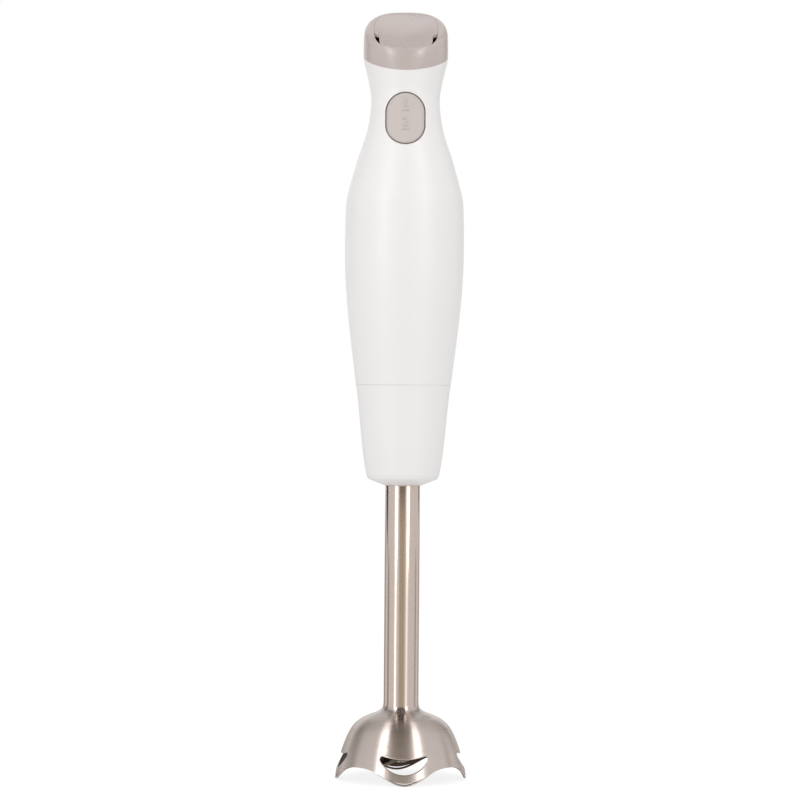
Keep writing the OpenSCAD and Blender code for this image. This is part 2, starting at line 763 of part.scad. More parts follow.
module frame_screws() color("silver") {
    for (y = [-frame_screw_y, frame_screw_y]) translate([0, y, deck_high + 0.05])
        rotate([180, 0, 0]) screw(1.6, 1.2, 1.05, deck_high - plate_high + 2);
}
module motor_leads() color("firebrick") {
    past = lead_r + 0.1;
    both_sides() strand([[lead_x, 0, plate_high - 2], [lead_x, 0, deck_high + 3],
        [(lead_x + board_w) / 2, board_front - past, deck_high + 4.5],
        [board_w - 2, board_front - past, deck_high + 6]], lead_r);
}

// ---- Electrics ----
module circuit_board() color("darkgreen") {
    difference() {
        block([-board_w, board_w], [board_front, board_back - 0.02], [board_low, board_high]);
        for (x = [-board_w + 3, board_w - 3], z = [board_low + 3, board_high - 3])
            rod_y(0.9, x, z, board_front - 1, board_back + 1);
    }
}
module suppressor_capacitor() color("gold") {
    block([-9, 0.5], [board_front - 6.5, board_front - 0.05],
        [board_low + board_h * 0.38, board_high - board_h * 0.06]);
}
module rectifier_diodes() color([0.15, 0.15, 0.15]) {
    r = min(1.4, board_h * 0.06);
    for (share = [0.3:0.17:0.82])
        rod_y(r, 5.5, board_low + board_h * share, board_front - 4, board_front - 0.05);
}
module choke_coils() color("chocolate") {
    r = min(2.9, board_h * 0.12);
    z = board_low + board_h * 0.2;
    for (x = [-7.5, -1]) difference() {
        rod_y(r, x, z, board_front - 7.5, board_front - 0.05);
        rod_y(r / 3, x, z, board_front - 9, board_front - 2);
    }
}
module switch_body() color([0.3, 0.3, 0.32]) {
    difference() {
        block([-switch_w / 2, switch_w / 2], [switch_front, -0.02],
            [button_z - switch_h / 2, button_z + switch_h / 2]);
        rod_y(plunger_r + 0.05, 0, button_z, switch_front - 1, switch_front + button_travel + 1.5);
    }
}
module switch_plunger() color("crimson") {
    rod_y(plunger_r, 0, button_z, plunger_tip, switch_front + 1);
}

// ---- Button ----
button_gap_in = 0.25;
button_skin = 1.4;
button_lap = 1.5;
module speed_button() color([0.8, 0.76, 0.745]) {
    inside = housing_wall + button_gap_in;
    face = plunger_tip - 0.05;
    lap = button_gap + button_lap;
    difference() {
        union() {
            intersection() {
                body_inside(-button_proud, neck_z - 30, head_z);
                button_shape(button_w, button_h);
            }
            intersection() {
                body_inside(inside, neck_z - 30, head_z);
                button_shape(button_w + 2 * lap, button_h + 2 * lap);
            }
        }
        body_inside(inside + button_skin, neck_z - 31, head_z + 1);
    }
    // Posts that press on the switch and on the springs
    intersection() {
        for (x = [-spring_x, 0, spring_x]) rod_y(x == 0 ? 2 : 2.3, x, button_z, -far / 2, face);
        body_inside(inside + button_skin / 2, neck_z - 30, head_z);
    }
}
module button_springs() color("silver") {
    both_sides() translate([spring_x, 0, button_z]) rotate([90, 0, 0])
        coil(1.75, 0.3, 0.05, -plunger_tip, 5);
}

// ---- Foot collar ----
core_floor_high = spigot_low - 1.5;
core_floor_low = core_floor_high - 3;
core_high_z = seam_z - seam_gap - 0.2;
tube_high = core_floor_low - 3.5;
collar_floor = collar_low + 6.5;
collar_inner = beside(collar_line, collar_wall);
module foot_collar() color("white") {
    top = seam_z - seam_gap;
    outer = concat([[tube_r + 0.5, collar_low]], [for (p = collar_line) if (p[1] < top) p],
        [[radius_at(collar_line, top), top]]);
    inner = [for (p = collar_inner) if (p[1] < top && p[1] > collar_floor) p];
    turned(concat(outer, [[radius_at(collar_inner, top), top]], backwards(inner),
        [[radius_at(collar_inner, collar_floor), collar_floor], [tube_r + fixed_gap, collar_floor],
        [tube_r + fixed_gap, collar_low]]));
}
module collar_core() color("lightgray") {
    skin = [for (p = collar_inner) if (p[1] > core_floor_low && p[1] < core_high_z) p - [fixed_gap, 0]];
    turned(concat(
        [[tube_r + fixed_gap, collar_floor + 0.02], [tube_r + 3, collar_floor + 0.02],
        [tube_r + 3, core_floor_low], [radius_at(collar_inner, core_floor_low) - fixed_gap, core_floor_low]],
        skin,
        [[radius_at(collar_inner, core_high_z) - fixed_gap, core_high_z], [collar_bore, core_high_z],
        [collar_bore, core_floor_high], [tube_r + fixed_gap, core_floor_high]]));
    for (a = [0, 120, 240]) rotate([0, 0, a])
        thread_ridge(collar_bore + 0.5, spigot_r + thread_gap, female_z, ridge_span);
}
// Flat ring that seals the spigot's end; it slides with the foot and doesn't turn
module foot_seal() color([0.3, 0.3, 0.3]) {
    ring(spigot_r - 0.2, spigot_r - spigot_wall + 0.1, core_floor_high + 0.05, spigot_low - 0.2);
}

// ---- Tube and guard ----
bush_flange_t = 1.5;
hub_r = tube_r - guard_wall - 0.1;
hub_low = 18;
hub_high = guard_h + 8;
bush_r = 4.5;
seal_r = 5.5;
seal_h = 3;
module foot_tube() color("silver") { ring(tube_r, tube_r - tube_wall, tube_low + 0.02, tube_high); }
// The slot as seen square on: between two arcs, with rounded ends
module slot_shape() {
    under_z = slot_low + slot_under_r;
    over_z = slot_low + slot_h + slot_over_r;
    apart = over_z - under_z;
    to_under = slot_under_r - slot_end_r;
    to_over = slot_over_r + slot_end_r;
    up = (to_under * to_under - to_over * to_over + apart * apart) / (2 * apart);
    end = [sqrt(to_under * to_under - up * up), under_z + up];
    a = atan2(up, end[0]);
    b = atan2(up - apart, end[0]);
    polygon(concat(
        arc(slot_under_r, [0, under_z], -180 - a, a, 24),
        arc(slot_end_r, end, a, b + 180, 8),
        arc(slot_over_r, [0, over_z], b, -180 - b, 12),
        arc(slot_end_r, [-end[0], end[1]], -b, 180 - a, 8)));
}
// What is cut away under one foot and up to the tops of the arches beside it
module foot_shape() {
    polygon(concat([[-guard_r * sin(48), -1]],
        [for (a = [-48:3:48]) [guard_r * sin(a), arch_h * (1 - pow(abs(cos(2 * a)), foot_narrow))]],
        [[guard_r * sin(48), -1]]));
}
// A flat shape, drawn as seen square on, cut outward along X
module radial_cut() {
    rotate([90, 0, 90]) linear_extrude(far) children();
}
module blade_guard() color("silver") {
    inner = beside(guard_line, -guard_wall);
    rotate([0, 0, guard_turn]) difference() {
        turned(concat(guard_line, [[inner[len(inner) - 1][0], 0]],
            backwards([for (p = inner) if (p[1] > 0.2 && p[1] < guard_h) p]),
            [[tube_r - guard_wall, guard_h]]));
        for (a = [0:90:270]) rotate([0, 0, a]) {
            radial_cut() slot_shape();
            radial_cut() foot_shape();
        }
    }
}
module guard_hub() color("silver") {
    difference() {
        union() {
            rod(hub_r, hub_low + 1, hub_high);
            translate([0, 0, hub_low]) cylinder(r1 = hub_r - 1, r2 = hub_r, h = 1.01);
        }
        rod(bush_r + fixed_gap, hub_low - 1, hub_high - 2);
        rod(shaft_r + 1, hub_low, hub_high + 1);
        rod(seal_r + fixed_gap, hub_low - 1, hub_low + seal_h);
    }
}
module upper_bush() color("darkgoldenrod") {
    difference() {
        union() {
            rod(tube_r - tube_wall - fixed_gap, tube_high - 9, tube_high + bite);
            rod(tube_r, tube_high + 0.02, tube_high + bush_flange_t);
        }
        rod(shaft_r + running_gap, tube_high - 10, tube_high + 5);
    }
}
module lower_bush() color("darkgoldenrod") {
    ring(bush_r, shaft_r + running_gap, hub_low + seal_h + 0.05, hub_high - 2.1);
}
module shaft_seal() color([0.25, 0.25, 0.25]) {
    ring(seal_r, shaft_r + running_gap, hub_low + 0.2, hub_low + seal_h);
}

// ---- Drive shaft, which turns in the foot ----
washer_low = tube_high + bush_flange_t + 0.1;
clip_low = washer_low + 1.05;
driven_low = clip_low + 1.3;
driven_high = spline_high - 0.3;
driven_floor = spline_low - 0.5;
driven_r = 7;
nut_h = 3;
module blade_shaft() color("silver") {
    difference() {
        rod(shaft_r, blade_up - nut_h - 0.5, driven_floor - 0.5);
        ring(shaft_r + 1, shaft_r - 0.5, clip_low - 0.02, clip_low + 0.82);
    }
}
module driven_coupling() color([0.85, 0.85, 0.82]) {
    difference() {
        rod(driven_r, driven_low, driven_high);
        rod(shaft_r + fixed_gap, driven_low - 1, driven_floor - 0.45);
        translate([0, 0, driven_floor]) linear_extrude(far) spline(spline_gap);
    }
}
module thrust_washer() color([0.9, 0.9, 0.85]) { ring(6, shaft_r + 0.05, washer_low, washer_low + 1); }
module retaining_clip() color("silver") {
    difference() {
        ring(4.2, shaft_r - 0.45, clip_low, clip_low + 0.8);
        block([-shaft_r * 0.7, shaft_r * 0.7], [-far, 0], [clip_low - 1, clip_low + 2]);
    }
}
module spacer_sleeve() color("silver") {
    ring(4.2, shaft_r + fixed_gap, blade_up + blade_t + 0.02, hub_low - 0.3);
}
blade_root = 5;
module blade() color("lightgray") {
    length = blade_r - blade_root;
    out = blade_root + length * cos(blade_bend);
    up = length * sin(blade_bend);
    lift = blade_t * cos(blade_bend);
    lean = blade_t * sin(blade_bend);
    corner = blade_t * tan(blade_bend / 2);
    wing = [[blade_root, -0.5], [out * 0.6, -0.43], [out + 1, -0.12], [out + 1, 0.14],
        [out * 0.5, 0.43], [blade_root, 0.5]];
    half_plan = [for (p = wing) [p[0], p[1] * blade_w]];
    rotate([0, 0, blade_turn]) translate([0, 0, blade_up]) difference() {
        intersection() {
            // From the side: one wing goes up and the other goes down
            rotate([90, 0, 0]) linear_extrude(blade_w + 2, center = true) polygon([
                [-out, -up], [-blade_root, 0], [blade_root, 0], [out, up],
                [out - lean, up + lift], [blade_root - corner, blade_t],
                [-blade_root - corner, blade_t], [-out - lean, lift - up]]);
            // From above
            translate([0, 0, -far]) linear_extrude(2 * far)
                polygon(concat(half_plan, [for (p = half_plan) -p]));
        }
        // Sharpened edges
        blade_edge(-blade_bend);
        rotate([0, 0, 180]) blade_edge(blade_bend);
        translate([0, 0, -1]) cylinder(r = shaft_r + fixed_gap, h = blade_t + 2);
    }
}
module blade_edge(bend) {
    slant = atan2(0.38 * blade_w, blade_r - blade_root);
    translate([blade_root, 0, 0]) rotate([0, bend, 0])
        translate([2, -blade_w / 2 + 0.6, 0.4]) rotate([0, 0, slant]) rotate([32, 0, 0])
            translate([0, -4, 0]) cube([blade_r, 12, 6]);
}
module blade_nut() color("silver") {
    difference() {
        translate([0, 0, blade_up - nut_h - 0.02]) linear_extrude(nut_h) circle(4.3, $fn = 6);
        rod(shaft_r + fixed_gap, blade_up - nut_h - 1, blade_up + 1);
    }
}

main_housing();
top_cap();
cap_panel();
cord_gland();
cord_clamp();
clamp_screws();
inner_frame();
frame_screws();
circuit_board();
suppressor_capacitor();
rectifier_diodes();
choke_coils();
switch_body();
switch_plunger();
speed_button();
button_springs();
motor_can();
field_magnets();
brush_plate();
brush_holders();
carbon_brushes();
brush_springs();
upper_motor_bearing();
lower_motor_bearing();
lower_damper();
upper_damper();
coupling_socket();
motor_screws();
motor_leads();
armature_shaft();
armature_core();
armature_windings();
commutator();
cooling_fan();
drive_coupling();
foot_seal();
foot_collar();
collar_core();
foot_tube();
blade_guard();
guard_hub();
upper_bush();
lower_bush();
shaft_seal();
blade_shaft();
driven_coupling();
thrust_washer();
retaining_clip();
spacer_sleeve();
blade();
blade_nut();
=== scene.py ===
"""Immersion blender: the white grip with its motor, and the screw-on steel foot, dressed for a picture."""

import math

import bmesh
import bpy
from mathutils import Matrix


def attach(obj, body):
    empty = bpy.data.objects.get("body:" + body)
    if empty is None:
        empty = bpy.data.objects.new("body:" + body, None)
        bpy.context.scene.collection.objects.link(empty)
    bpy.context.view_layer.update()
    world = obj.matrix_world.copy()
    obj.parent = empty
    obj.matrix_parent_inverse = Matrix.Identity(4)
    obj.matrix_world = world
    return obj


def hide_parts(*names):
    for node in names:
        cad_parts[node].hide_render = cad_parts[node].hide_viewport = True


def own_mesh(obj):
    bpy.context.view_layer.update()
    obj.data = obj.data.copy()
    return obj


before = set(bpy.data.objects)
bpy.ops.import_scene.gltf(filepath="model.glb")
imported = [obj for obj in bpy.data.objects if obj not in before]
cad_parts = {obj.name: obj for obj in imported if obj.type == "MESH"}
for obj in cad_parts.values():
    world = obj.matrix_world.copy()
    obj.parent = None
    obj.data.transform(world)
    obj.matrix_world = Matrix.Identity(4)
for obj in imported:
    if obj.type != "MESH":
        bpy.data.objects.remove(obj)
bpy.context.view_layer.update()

mm = 0.001


# ---------------------------------------------------------------------------------------------
# Armature: the turning heart of the motor. A stainless shaft carries a stack of punched steel
# sheets, the enamelled copper coils, a copper commutator and a moulded nylon fan.
# ---------------------------------------------------------------------------------------------
def shade(red, green, blue):
    """A colour as it looks on a screen, from 0 to 255, as the light values that a shader takes."""
    def light(part):
        part = part / 255
        return part / 12.92 if part <= 0.04045 else ((part + 0.055) / 1.055) ** 2.4
    return (light(red), light(green), light(blue), 1.0)


def add(tree, kind, feeds=(), **settings):
    """A new node. What feeds a socket is a number, a colour, or another node's output."""
    made = tree.nodes.new("ShaderNode" + kind)
    for setting, value in settings.items():
        setattr(made, setting, value)
    for socket, value in dict(feeds).items():
        if isinstance(value, bpy.types.NodeSocket):
            tree.links.new(value, made.inputs[socket])
        else:
            made.inputs[socket].default_value = value
    return made


def worked(tree, operation, *values):
    """One step of arithmetic on these values."""
    return add(tree, "Math", enumerate(values), operation=operation).outputs[0]


def noise(tree, place, scale, detail):
    """Cloudy noise from 0 to 1."""
    return add(tree, "TexNoise", {"Vector": place, "Scale": scale, "Detail": detail}).outputs["Fac"]


def spread(tree, value, source=(0.0, 1.0), target=(0.0, 1.0), **settings):
    """A value moved from one range to another, and held at its ends."""
    ends = dict(zip(("From Min", "From Max", "To Min", "To Max"), (*source, *target)))
    return add(tree, "MapRange", {"Value": value, **ends}, **settings).outputs[0]


def darker(tree, colour, share, amount):
    """The colour, brought down by an amount wherever the share is near 1."""
    factor = spread(tree, share, target=(1.0, 1.0 - amount))
    return add(tree, "VectorMath", {0: colour, "Scale": factor}, operation="SCALE").outputs[0]


def surface_group(name, **extra):
    """An empty surface effect: place, colour and roughness go in; colour, roughness and height come out."""
    tree = bpy.data.node_groups.new(name, "ShaderNodeTree")
    sockets = dict(Place="Vector", Colour="Color", Roughness="Float", **extra)
    for socket, kind in sockets.items():
        tree.interface.new_socket(socket, in_out="INPUT", socket_type="NodeSocket" + kind)
    for socket, kind in dict(Colour="Color", Roughness="Float", Height="Float").items():
        tree.interface.new_socket(socket, in_out="OUTPUT", socket_type="NodeSocket" + kind)
    return tree, tree.nodes.new("NodeGroupInput").outputs, tree.nodes.new("NodeGroupOutput")


def give_out(tree, result, colour, roughness, height):
    """Joins the three results of a surface effect to its way out."""
    for socket, value in {"Colour": colour, "Roughness": roughness, "Height": height}.items():
        tree.links.new(value, result.inputs[socket])


def finish_of(name, group, values, shader, bump):
    """A material that takes its pattern from one surface effect, with its plain values on the shader."""
    made = bpy.data.materials.new(name)
    made.use_nodes = True
    tree = made.node_tree
    glossy = tree.nodes["Principled BSDF"]
    for socket, value in shader.items():
        glossy.inputs[socket].default_value = value
    place = add(tree, "TexCoord").outputs["Object"]
    effect = add(tree, "Group", {**values, "Place": place}, node_tree=group).outputs
    relief = add(tree, "Bump", {"Height": effect["Height"], "Distance": bump, "Strength": 1.0})
    tree.links.new(effect["Colour"], glossy.inputs["Base Color"])
    tree.links.new(effect["Roughness"], glossy.inputs["Roughness"])
    tree.links.new(relief.outputs[0], glossy.inputs["Normal"])
    return made


def dress(finish, *nodes):
    """Gives CAD pieces that keep their own shape a finish."""
    for name in nodes:
        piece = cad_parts[name]
        piece.data.materials.clear()
        piece.data.materials.append(finish)


# Brushed metal: fine lines along one direction, a few deeper scores, and a patchy sheen
brushed_metal, given, result = surface_group("brushed_metal", Lines="Vector", Contrast="Float")
stretched = add(brushed_metal, "VectorMath", {0: given["Place"], 1: given["Lines"]}, operation="MULTIPLY")
hairs = noise(brushed_metal, stretched.outputs[0], 1.0, 3.0)
score = spread(brushed_metal, noise(brushed_metal, stretched.outputs[0], 0.21, 1.0), (0.66, 0.72))
toned = worked(brushed_metal, "MULTIPLY", hairs, given["Contrast"])
brushed = darker(brushed_metal, darker(brushed_metal, given["Colour"], toned, 1.0), score, 0.10)
rubbed = spread(brushed_metal, noise(brushed_metal, given["Place"], 90.0, 4.0), target=(-0.05, 0.05))
rough = worked(brushed_metal, "ADD", given["Roughness"], rubbed)
rough = worked(brushed_metal, "MULTIPLY_ADD", score, 0.12, rough)
give_out(brushed_metal, result, brushed, rough, worked(brushed_metal, "MULTIPLY_ADD", score, -0.8, hairs))

ground_steel = finish_of(
    "ground_steel", brushed_metal,
    {"Colour": shade(205, 201, 196), "Roughness": 0.24, "Lines": (60, 60, 9000), "Contrast": 0.12},
    {"Metallic": 1.0}, 0.004 * mm)
dress(ground_steel, "armature_shaft")

# Bands: thin lines of one pitch, for stacked sheets and wound wire
banded, given, result = surface_group("banded", Lines="Vector", Groove="Float")
laid = add(banded, "VectorMath", {0: given["Place"], 1: given["Lines"]}, operation="DOT_PRODUCT")
ripple = noise(banded, given["Place"], 400.0, 2.0)
saw = worked(banded, "PINGPONG", worked(banded, "MULTIPLY_ADD", ripple, 0.35, laid.outputs["Value"]), 1.0)
sunk = worked(banded, "MULTIPLY", spread(banded, saw, (0.0, 0.35), (1.0, 0.0)), given["Groove"])
lined = darker(banded, given["Colour"], sunk, 1.0)
lined = darker(banded, lined, noise(banded, given["Place"], 1600.0, 2.0), 0.18)
dull = worked(banded, "MULTIPLY_ADD", sunk, 0.3, given["Roughness"])
give_out(banded, result, lined, dull, worked(banded, "POWER", saw, 0.5))

dress(finish_of(
    "punched_sheets", banded,
    {"Colour": shade(128, 126, 124), "Roughness": 0.42, "Lines": (0, 0, 2200), "Groove": 0.5},
    {"Metallic": 0.9}, 0.03 * mm), "armature_core")
coil_copper = finish_of(
    "coil_copper", banded,
    {"Colour": shade(190, 104, 58), "Roughness": 0.3, "Lines": (1500, 900, 1900), "Groove": 0.65},
    {"Metallic": 0.85, "Coat Weight": 0.5}, 0.12 * mm)
dress(coil_copper, "armature_windings")
dress(finish_of(
    "bar_copper", brushed_metal,
    {"Colour": shade(196, 122, 84), "Roughness": 0.3, "Lines": (80, 80, 7000), "Contrast": 0.35},
    {"Metallic": 1.0}, 0.006 * mm), "commutator")

# Moulded plastic: a fine spark-eroded grain, a soft drift of tone, and patches that handling has polished
moulded_skin, given, result = surface_group("moulded_skin", Grain="Float", Drift="Float")
grain = noise(moulded_skin, given["Place"], given["Grain"], 2.0)
drift = worked(moulded_skin, "MULTIPLY", noise(moulded_skin, given["Place"], 22.0, 2.0), given["Drift"])
skin = darker(moulded_skin, darker(moulded_skin, given["Colour"], drift, 1.0), grain, 0.02)
handled = noise(moulded_skin, given["Place"], 75.0, 5.0)
polish = spread(moulded_skin, handled, (0.35, 0.65), (-0.03, 0.03))
give_out(moulded_skin, result, skin, worked(moulded_skin, "ADD", given["Roughness"], polish), grain)

white_nylon = finish_of(
    "white_nylon", moulded_skin,
    {"Colour": shade(226, 224, 214), "Roughness": 0.45, "Grain": 3000.0, "Drift": 0.06},
    {"Subsurface Weight": 0.1, "Subsurface Scale": 0.002}, 0.01 * mm)
black_plastic = finish_of(
    "black_plastic", moulded_skin,
    {"Colour": shade(44, 44, 47), "Roughness": 0.5, "Grain": 2500.0, "Drift": 0.25}, {}, 0.015 * mm)
dress(white_nylon, "cooling_fan")
dress(black_plastic, "drive_coupling")


# ---------------------------------------------------------------------------------------------
# Motor: a drawn and zinc-plated steel can with two ferrite magnets. A moulded plate closes it and
# holds the brass brush boxes, the carbon brushes on their springs, and a sintered bronze bearing.
# ---------------------------------------------------------------------------------------------
zinc_plate = finish_of(
    "zinc_plate", brushed_metal,
    {"Colour": shade(186, 186, 180), "Roughness": 0.38, "Lines": (900, 900, 1400), "Contrast": 0.22},
    {"Metallic": 1.0}, 0.006 * mm)
dress(zinc_plate, "motor_can", "brush_springs", "motor_screws", "frame_screws", "clamp_screws",
      "retaining_clip")

# Pressed powder: the open grain of sintered metal, ferrite and carbon
pressed_powder, given, result = surface_group("pressed_powder", Grain="Float")
cells = add(pressed_powder, "TexVoronoi", {"Vector": given["Place"], "Scale": given["Grain"]})
mottle = noise(pressed_powder, given["Place"], 500.0, 4.0)
powder = darker(pressed_powder, given["Colour"], cells.outputs["Distance"], 0.45)
powder = darker(pressed_powder, powder, mottle, 0.3)
pitted = worked(pressed_powder, "MULTIPLY_ADD", mottle, 0.15, given["Roughness"])
give_out(pressed_powder, result, powder, pitted, cells.outputs["Distance"])

bearing_bronze = finish_of(
    "bearing_bronze", pressed_powder,
    {"Colour": shade(190, 146, 92), "Roughness": 0.34, "Grain": 4200.0}, {"Metallic": 1.0}, 0.02 * mm)
dress(bearing_bronze, "upper_motor_bearing", "lower_motor_bearing", "upper_bush", "lower_bush")
dress(finish_of(
    "ferrite", pressed_powder,
    {"Colour": shade(74, 74, 78), "Roughness": 0.6, "Grain": 3200.0}, {"Metallic": 0.1}, 0.03 * mm),
    "field_magnets")
dress(finish_of(
    "brush_carbon", pressed_powder,
    {"Colour": shade(48, 47, 47), "Roughness": 0.55, "Grain": 5200.0}, {}, 0.02 * mm), "carbon_brushes")
dress(finish_of(
    "pressed_brass", brushed_metal,
    {"Colour": shade(206, 172, 100), "Roughness": 0.3, "Lines": (5200, 90, 90), "Contrast": 0.2},
    {"Metallic": 1.0}, 0.005 * mm), "brush_holders")
dress(black_plastic, "brush_plate")
black_rubber = finish_of(
    "black_rubber", moulded_skin,
    {"Colour": shade(52, 51, 51), "Roughness": 0.66, "Grain": 1500.0, "Drift": 0.3}, {}, 0.03 * mm)
dress(black_rubber, "lower_damper", "upper_damper", "shaft_seal")


# ---------------------------------------------------------------------------------------------
# Coupling socket and inner frame: plain grey ABS mouldings. The socket holds the motor up in the
# grip and has the screw thread; the frame holds the board, the switch and the cord clamp.
# ---------------------------------------------------------------------------------------------
inner_plastic = finish_of(
    "inner_plastic", moulded_skin,
    {"Colour": shade(214, 213, 209), "Roughness": 0.42, "Grain": 2200.0, "Drift": 0.08}, {}, 0.015 * mm)
dress(inner_plastic, "coupling_socket", "inner_frame", "cord_clamp", "collar_core")

# Board: green resist over copper tracks, on glass-fibre sheet
circuit_green, given, result = surface_group("circuit_green", Tracks="Color")
lanes = add(circuit_green, "TexVoronoi", {"Vector": given["Place"], "Scale": 260.0}, distance="MANHATTAN")
track = spread(circuit_green, lanes.outputs["Distance"], (0.3, 0.36))
resist = add(circuit_green, "Mix", {
    "Factor": track, 6: given["Colour"], 7: given["Tracks"]}, data_type="RGBA")
resist = darker(circuit_green, resist.outputs[2], noise(circuit_green, given["Place"], 2600.0, 1.0), 0.15)
give_out(circuit_green, result, resist, given["Roughness"], track)
dress(finish_of(
    "board_resist", circuit_green,
    {"Colour": shade(28, 92, 52), "Tracks": shade(46, 122, 70), "Roughness": 0.34},
    {"Coat Weight": 0.3}, 0.03 * mm), "circuit_board")

dress(finish_of(
    "capacitor_case", moulded_skin,
    {"Colour": shade(226, 184, 62), "Roughness": 0.4, "Grain": 1800.0, "Drift": 0.12}, {}, 0.02 * mm),
    "suppressor_capacitor")
dress(coil_copper, "choke_coils")
dress(black_plastic, "rectifier_diodes", "switch_body")
dress(white_nylon, "switch_plunger")
dress(finish_of(
    "lead_sheath", moulded_skin,
    {"Colour": shade(168, 30, 26), "Roughness": 0.45, "Grain": 2600.0, "Drift": 0.15}, {}, 0.01 * mm),
    "motor_leads")


# ---------------------------------------------------------------------------------------------
# Grip: one white ABS moulding, turned in outline from the slim waist over the coupling up to the
# belly, the neck and the cap, with a wall of 2.2 mm and an oval opening for the button.
# ---------------------------------------------------------------------------------------------
seam_z, seam_r, grip_wall = 191.6, 23.1, 2.2
head_seam_z, head_seam_climb, head_seam_bow = 351.1, 0.327, 0.0052
grip_points = [
    (seam_r, seam_z), (26.4, 218.0), (28.41, 239.1), (29.0, 257.6), (28.7, 276.6), (27.7, 284.6),
    (23.22, 301.0), (18.4, 316.0), (16.7, 330.0), (18.26, 340.4), (20.3, 349.0), (20.6, 355.0), (20.5, 361.0)]


def only(*pieces):
    """Selects these pieces and nothing else."""
    bpy.ops.object.select_all(action="DESELECT")
    for piece in pieces:
        piece.select_set(True)
    bpy.context.view_layer.objects.active = pieces[0]


def flowing(points, steps):
    """A smooth line through the points, as radius and height."""
    line = []
    for i in range(len(points) - 1):
        a, b, c, d = (points[min(max(i + k, 0), len(points) - 1)] for k in (-1, 0, 1, 2))
        for step in range(steps):
            t = step / steps
            line.append(tuple(
                0.5 * (2 * q + (r - p) * t + (2 * p - 5 * q + 4 * r - s) * t * t
                       + (3 * q - 3 * r + s - p) * t ** 3)
                for p, q, r, s in zip(a, b, c, d)))
    return line + [tuple(points[-1])]


def across(line, z):
    """The radius of an outline at a height."""
    for (r0, z0), (r1, z1) in zip(line, line[1:]):
        if min(z0, z1) <= z <= max(z0, z1) and z0 != z1:
            return r0 + (r1 - r0) * (z - z0) / (z1 - z0)
    return line[0][0] if abs(z - line[0][1]) < abs(z - line[-1][1]) else line[-1][0]


def turned(name, outline, around=160, along="Z", at=(0, 0, 0)):
    """Draws a closed outline, as radius and height in mm, from one point on, and spins it once round."""
    bpy.ops.object.select_all(action="DESELECT")
    bpy.ops.mesh.primitive_plane_add(size=mm)
    piece = bpy.context.object
    piece.name = name
    lift = (0, 0, 1) if along == "Z" else (0, 1, 0)
    spots = [tuple((at[k] + (r if k == 0 else 0) + h * lift[k]) * mm for k in range(3))
             for r, h in [*outline, outline[0]]]
    bpy.ops.object.mode_set(mode="EDIT")
    bpy.ops.mesh.merge(type="CENTER")
    bpy.ops.transform.translate(value=spots[0])
    for here, there in zip(spots, spots[1:]):
        step = tuple(b - a for a, b in zip(here, there))
        bpy.ops.mesh.extrude_region_move(TRANSFORM_OT_translate={"value": step})
    bpy.ops.mesh.select_all(action="SELECT")
    bpy.ops.mesh.spin(steps=around, angle=2 * math.pi, center=[c * mm for c in at], axis=lift)
    bpy.ops.mesh.select_all(action="SELECT")
    bpy.ops.mesh.remove_doubles(threshold=0.0005 * mm)
    bpy.ops.mesh.normals_make_consistent(inside=False)
    bpy.ops.object.mode_set(mode="OBJECT")
    return piece


def settle(piece):
    """Puts a piece's place and turn into its mesh."""
    only(piece)
    bpy.ops.object.transform_apply(location=True, rotation=True, scale=True)
    return piece


def combine(piece, tool, how="DIFFERENCE"):
    """Cuts a tool out of a piece, or joins it on."""
    settle(tool)
    change = piece.modifiers.new("change", "BOOLEAN")
    change.operation, change.solver, change.object = how, "EXACT", tool
    only(piece)
    bpy.ops.object.modifier_apply(modifier=change.name)
    bpy.data.objects.remove(tool)
    return piece


def drawn_out(piece, *way):
    """Draws a flat face out into a block, by a way in mm."""
    only(piece)
    bpy.ops.object.mode_set(mode="EDIT")
    bpy.ops.mesh.select_all(action="SELECT")
    bpy.ops.mesh.extrude_region_move(TRANSFORM_OT_translate={"value": [part * mm for part in way]})
    bpy.ops.mesh.select_all(action="SELECT")
    bpy.ops.mesh.normals_make_consistent(inside=False)
    bpy.ops.object.mode_set(mode="OBJECT")
    return piece


def head_seam(y):
    """How high the joint between the grip and its cap lies: it climbs steeply in front and less behind."""
    return head_seam_z + head_seam_climb * y - head_seam_bow * y * y


def above_seam(size=60):
    """A large block that lies over this joint."""
    bpy.ops.mesh.primitive_grid_add(x_subdivisions=1, y_subdivisions=48, size=size * mm, location=(0, 0, 0))
    block = bpy.context.object
    for corner in block.data.vertices:
        corner.co.z = head_seam(corner.co.y / mm) * mm
    return drawn_out(block, 0, 0, size)


def finished(piece, finish, body, slot, *nodes, angle=35):
    """Smooths a piece, gives it its finish and sets it on its body in place of its CAD nodes."""
    settle(piece)
    bpy.ops.object.shade_smooth_by_angle(angle=math.radians(angle))
    piece.data.materials.clear()
    piece.data.materials.append(finish)
    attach(piece, body)
    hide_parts(*nodes)
    return piece


grip_line = flowing(grip_points, 10)
white_shell = finish_of(
    "white_shell", moulded_skin,
    {"Colour": shade(243, 241, 240), "Roughness": 0.44, "Grain": 2600.0, "Drift": 0.02},
    {"Specular IOR Level": 0.45}, 0.006 * mm)
grip_skin = [p for p in grip_line if p[1] > seam_z + 0.3]
grip = turned("grip_shell", [
    (seam_r - 0.05, seam_z), (seam_r, seam_z + 0.05), *grip_skin,
    *[(r - grip_wall, z) for r, z in reversed(grip_skin)], (seam_r - grip_wall, seam_z)])
combine(grip, above_seam())

button_z, button_w, button_h, button_gap = 320.0, 18.2, 24.4, 0.6


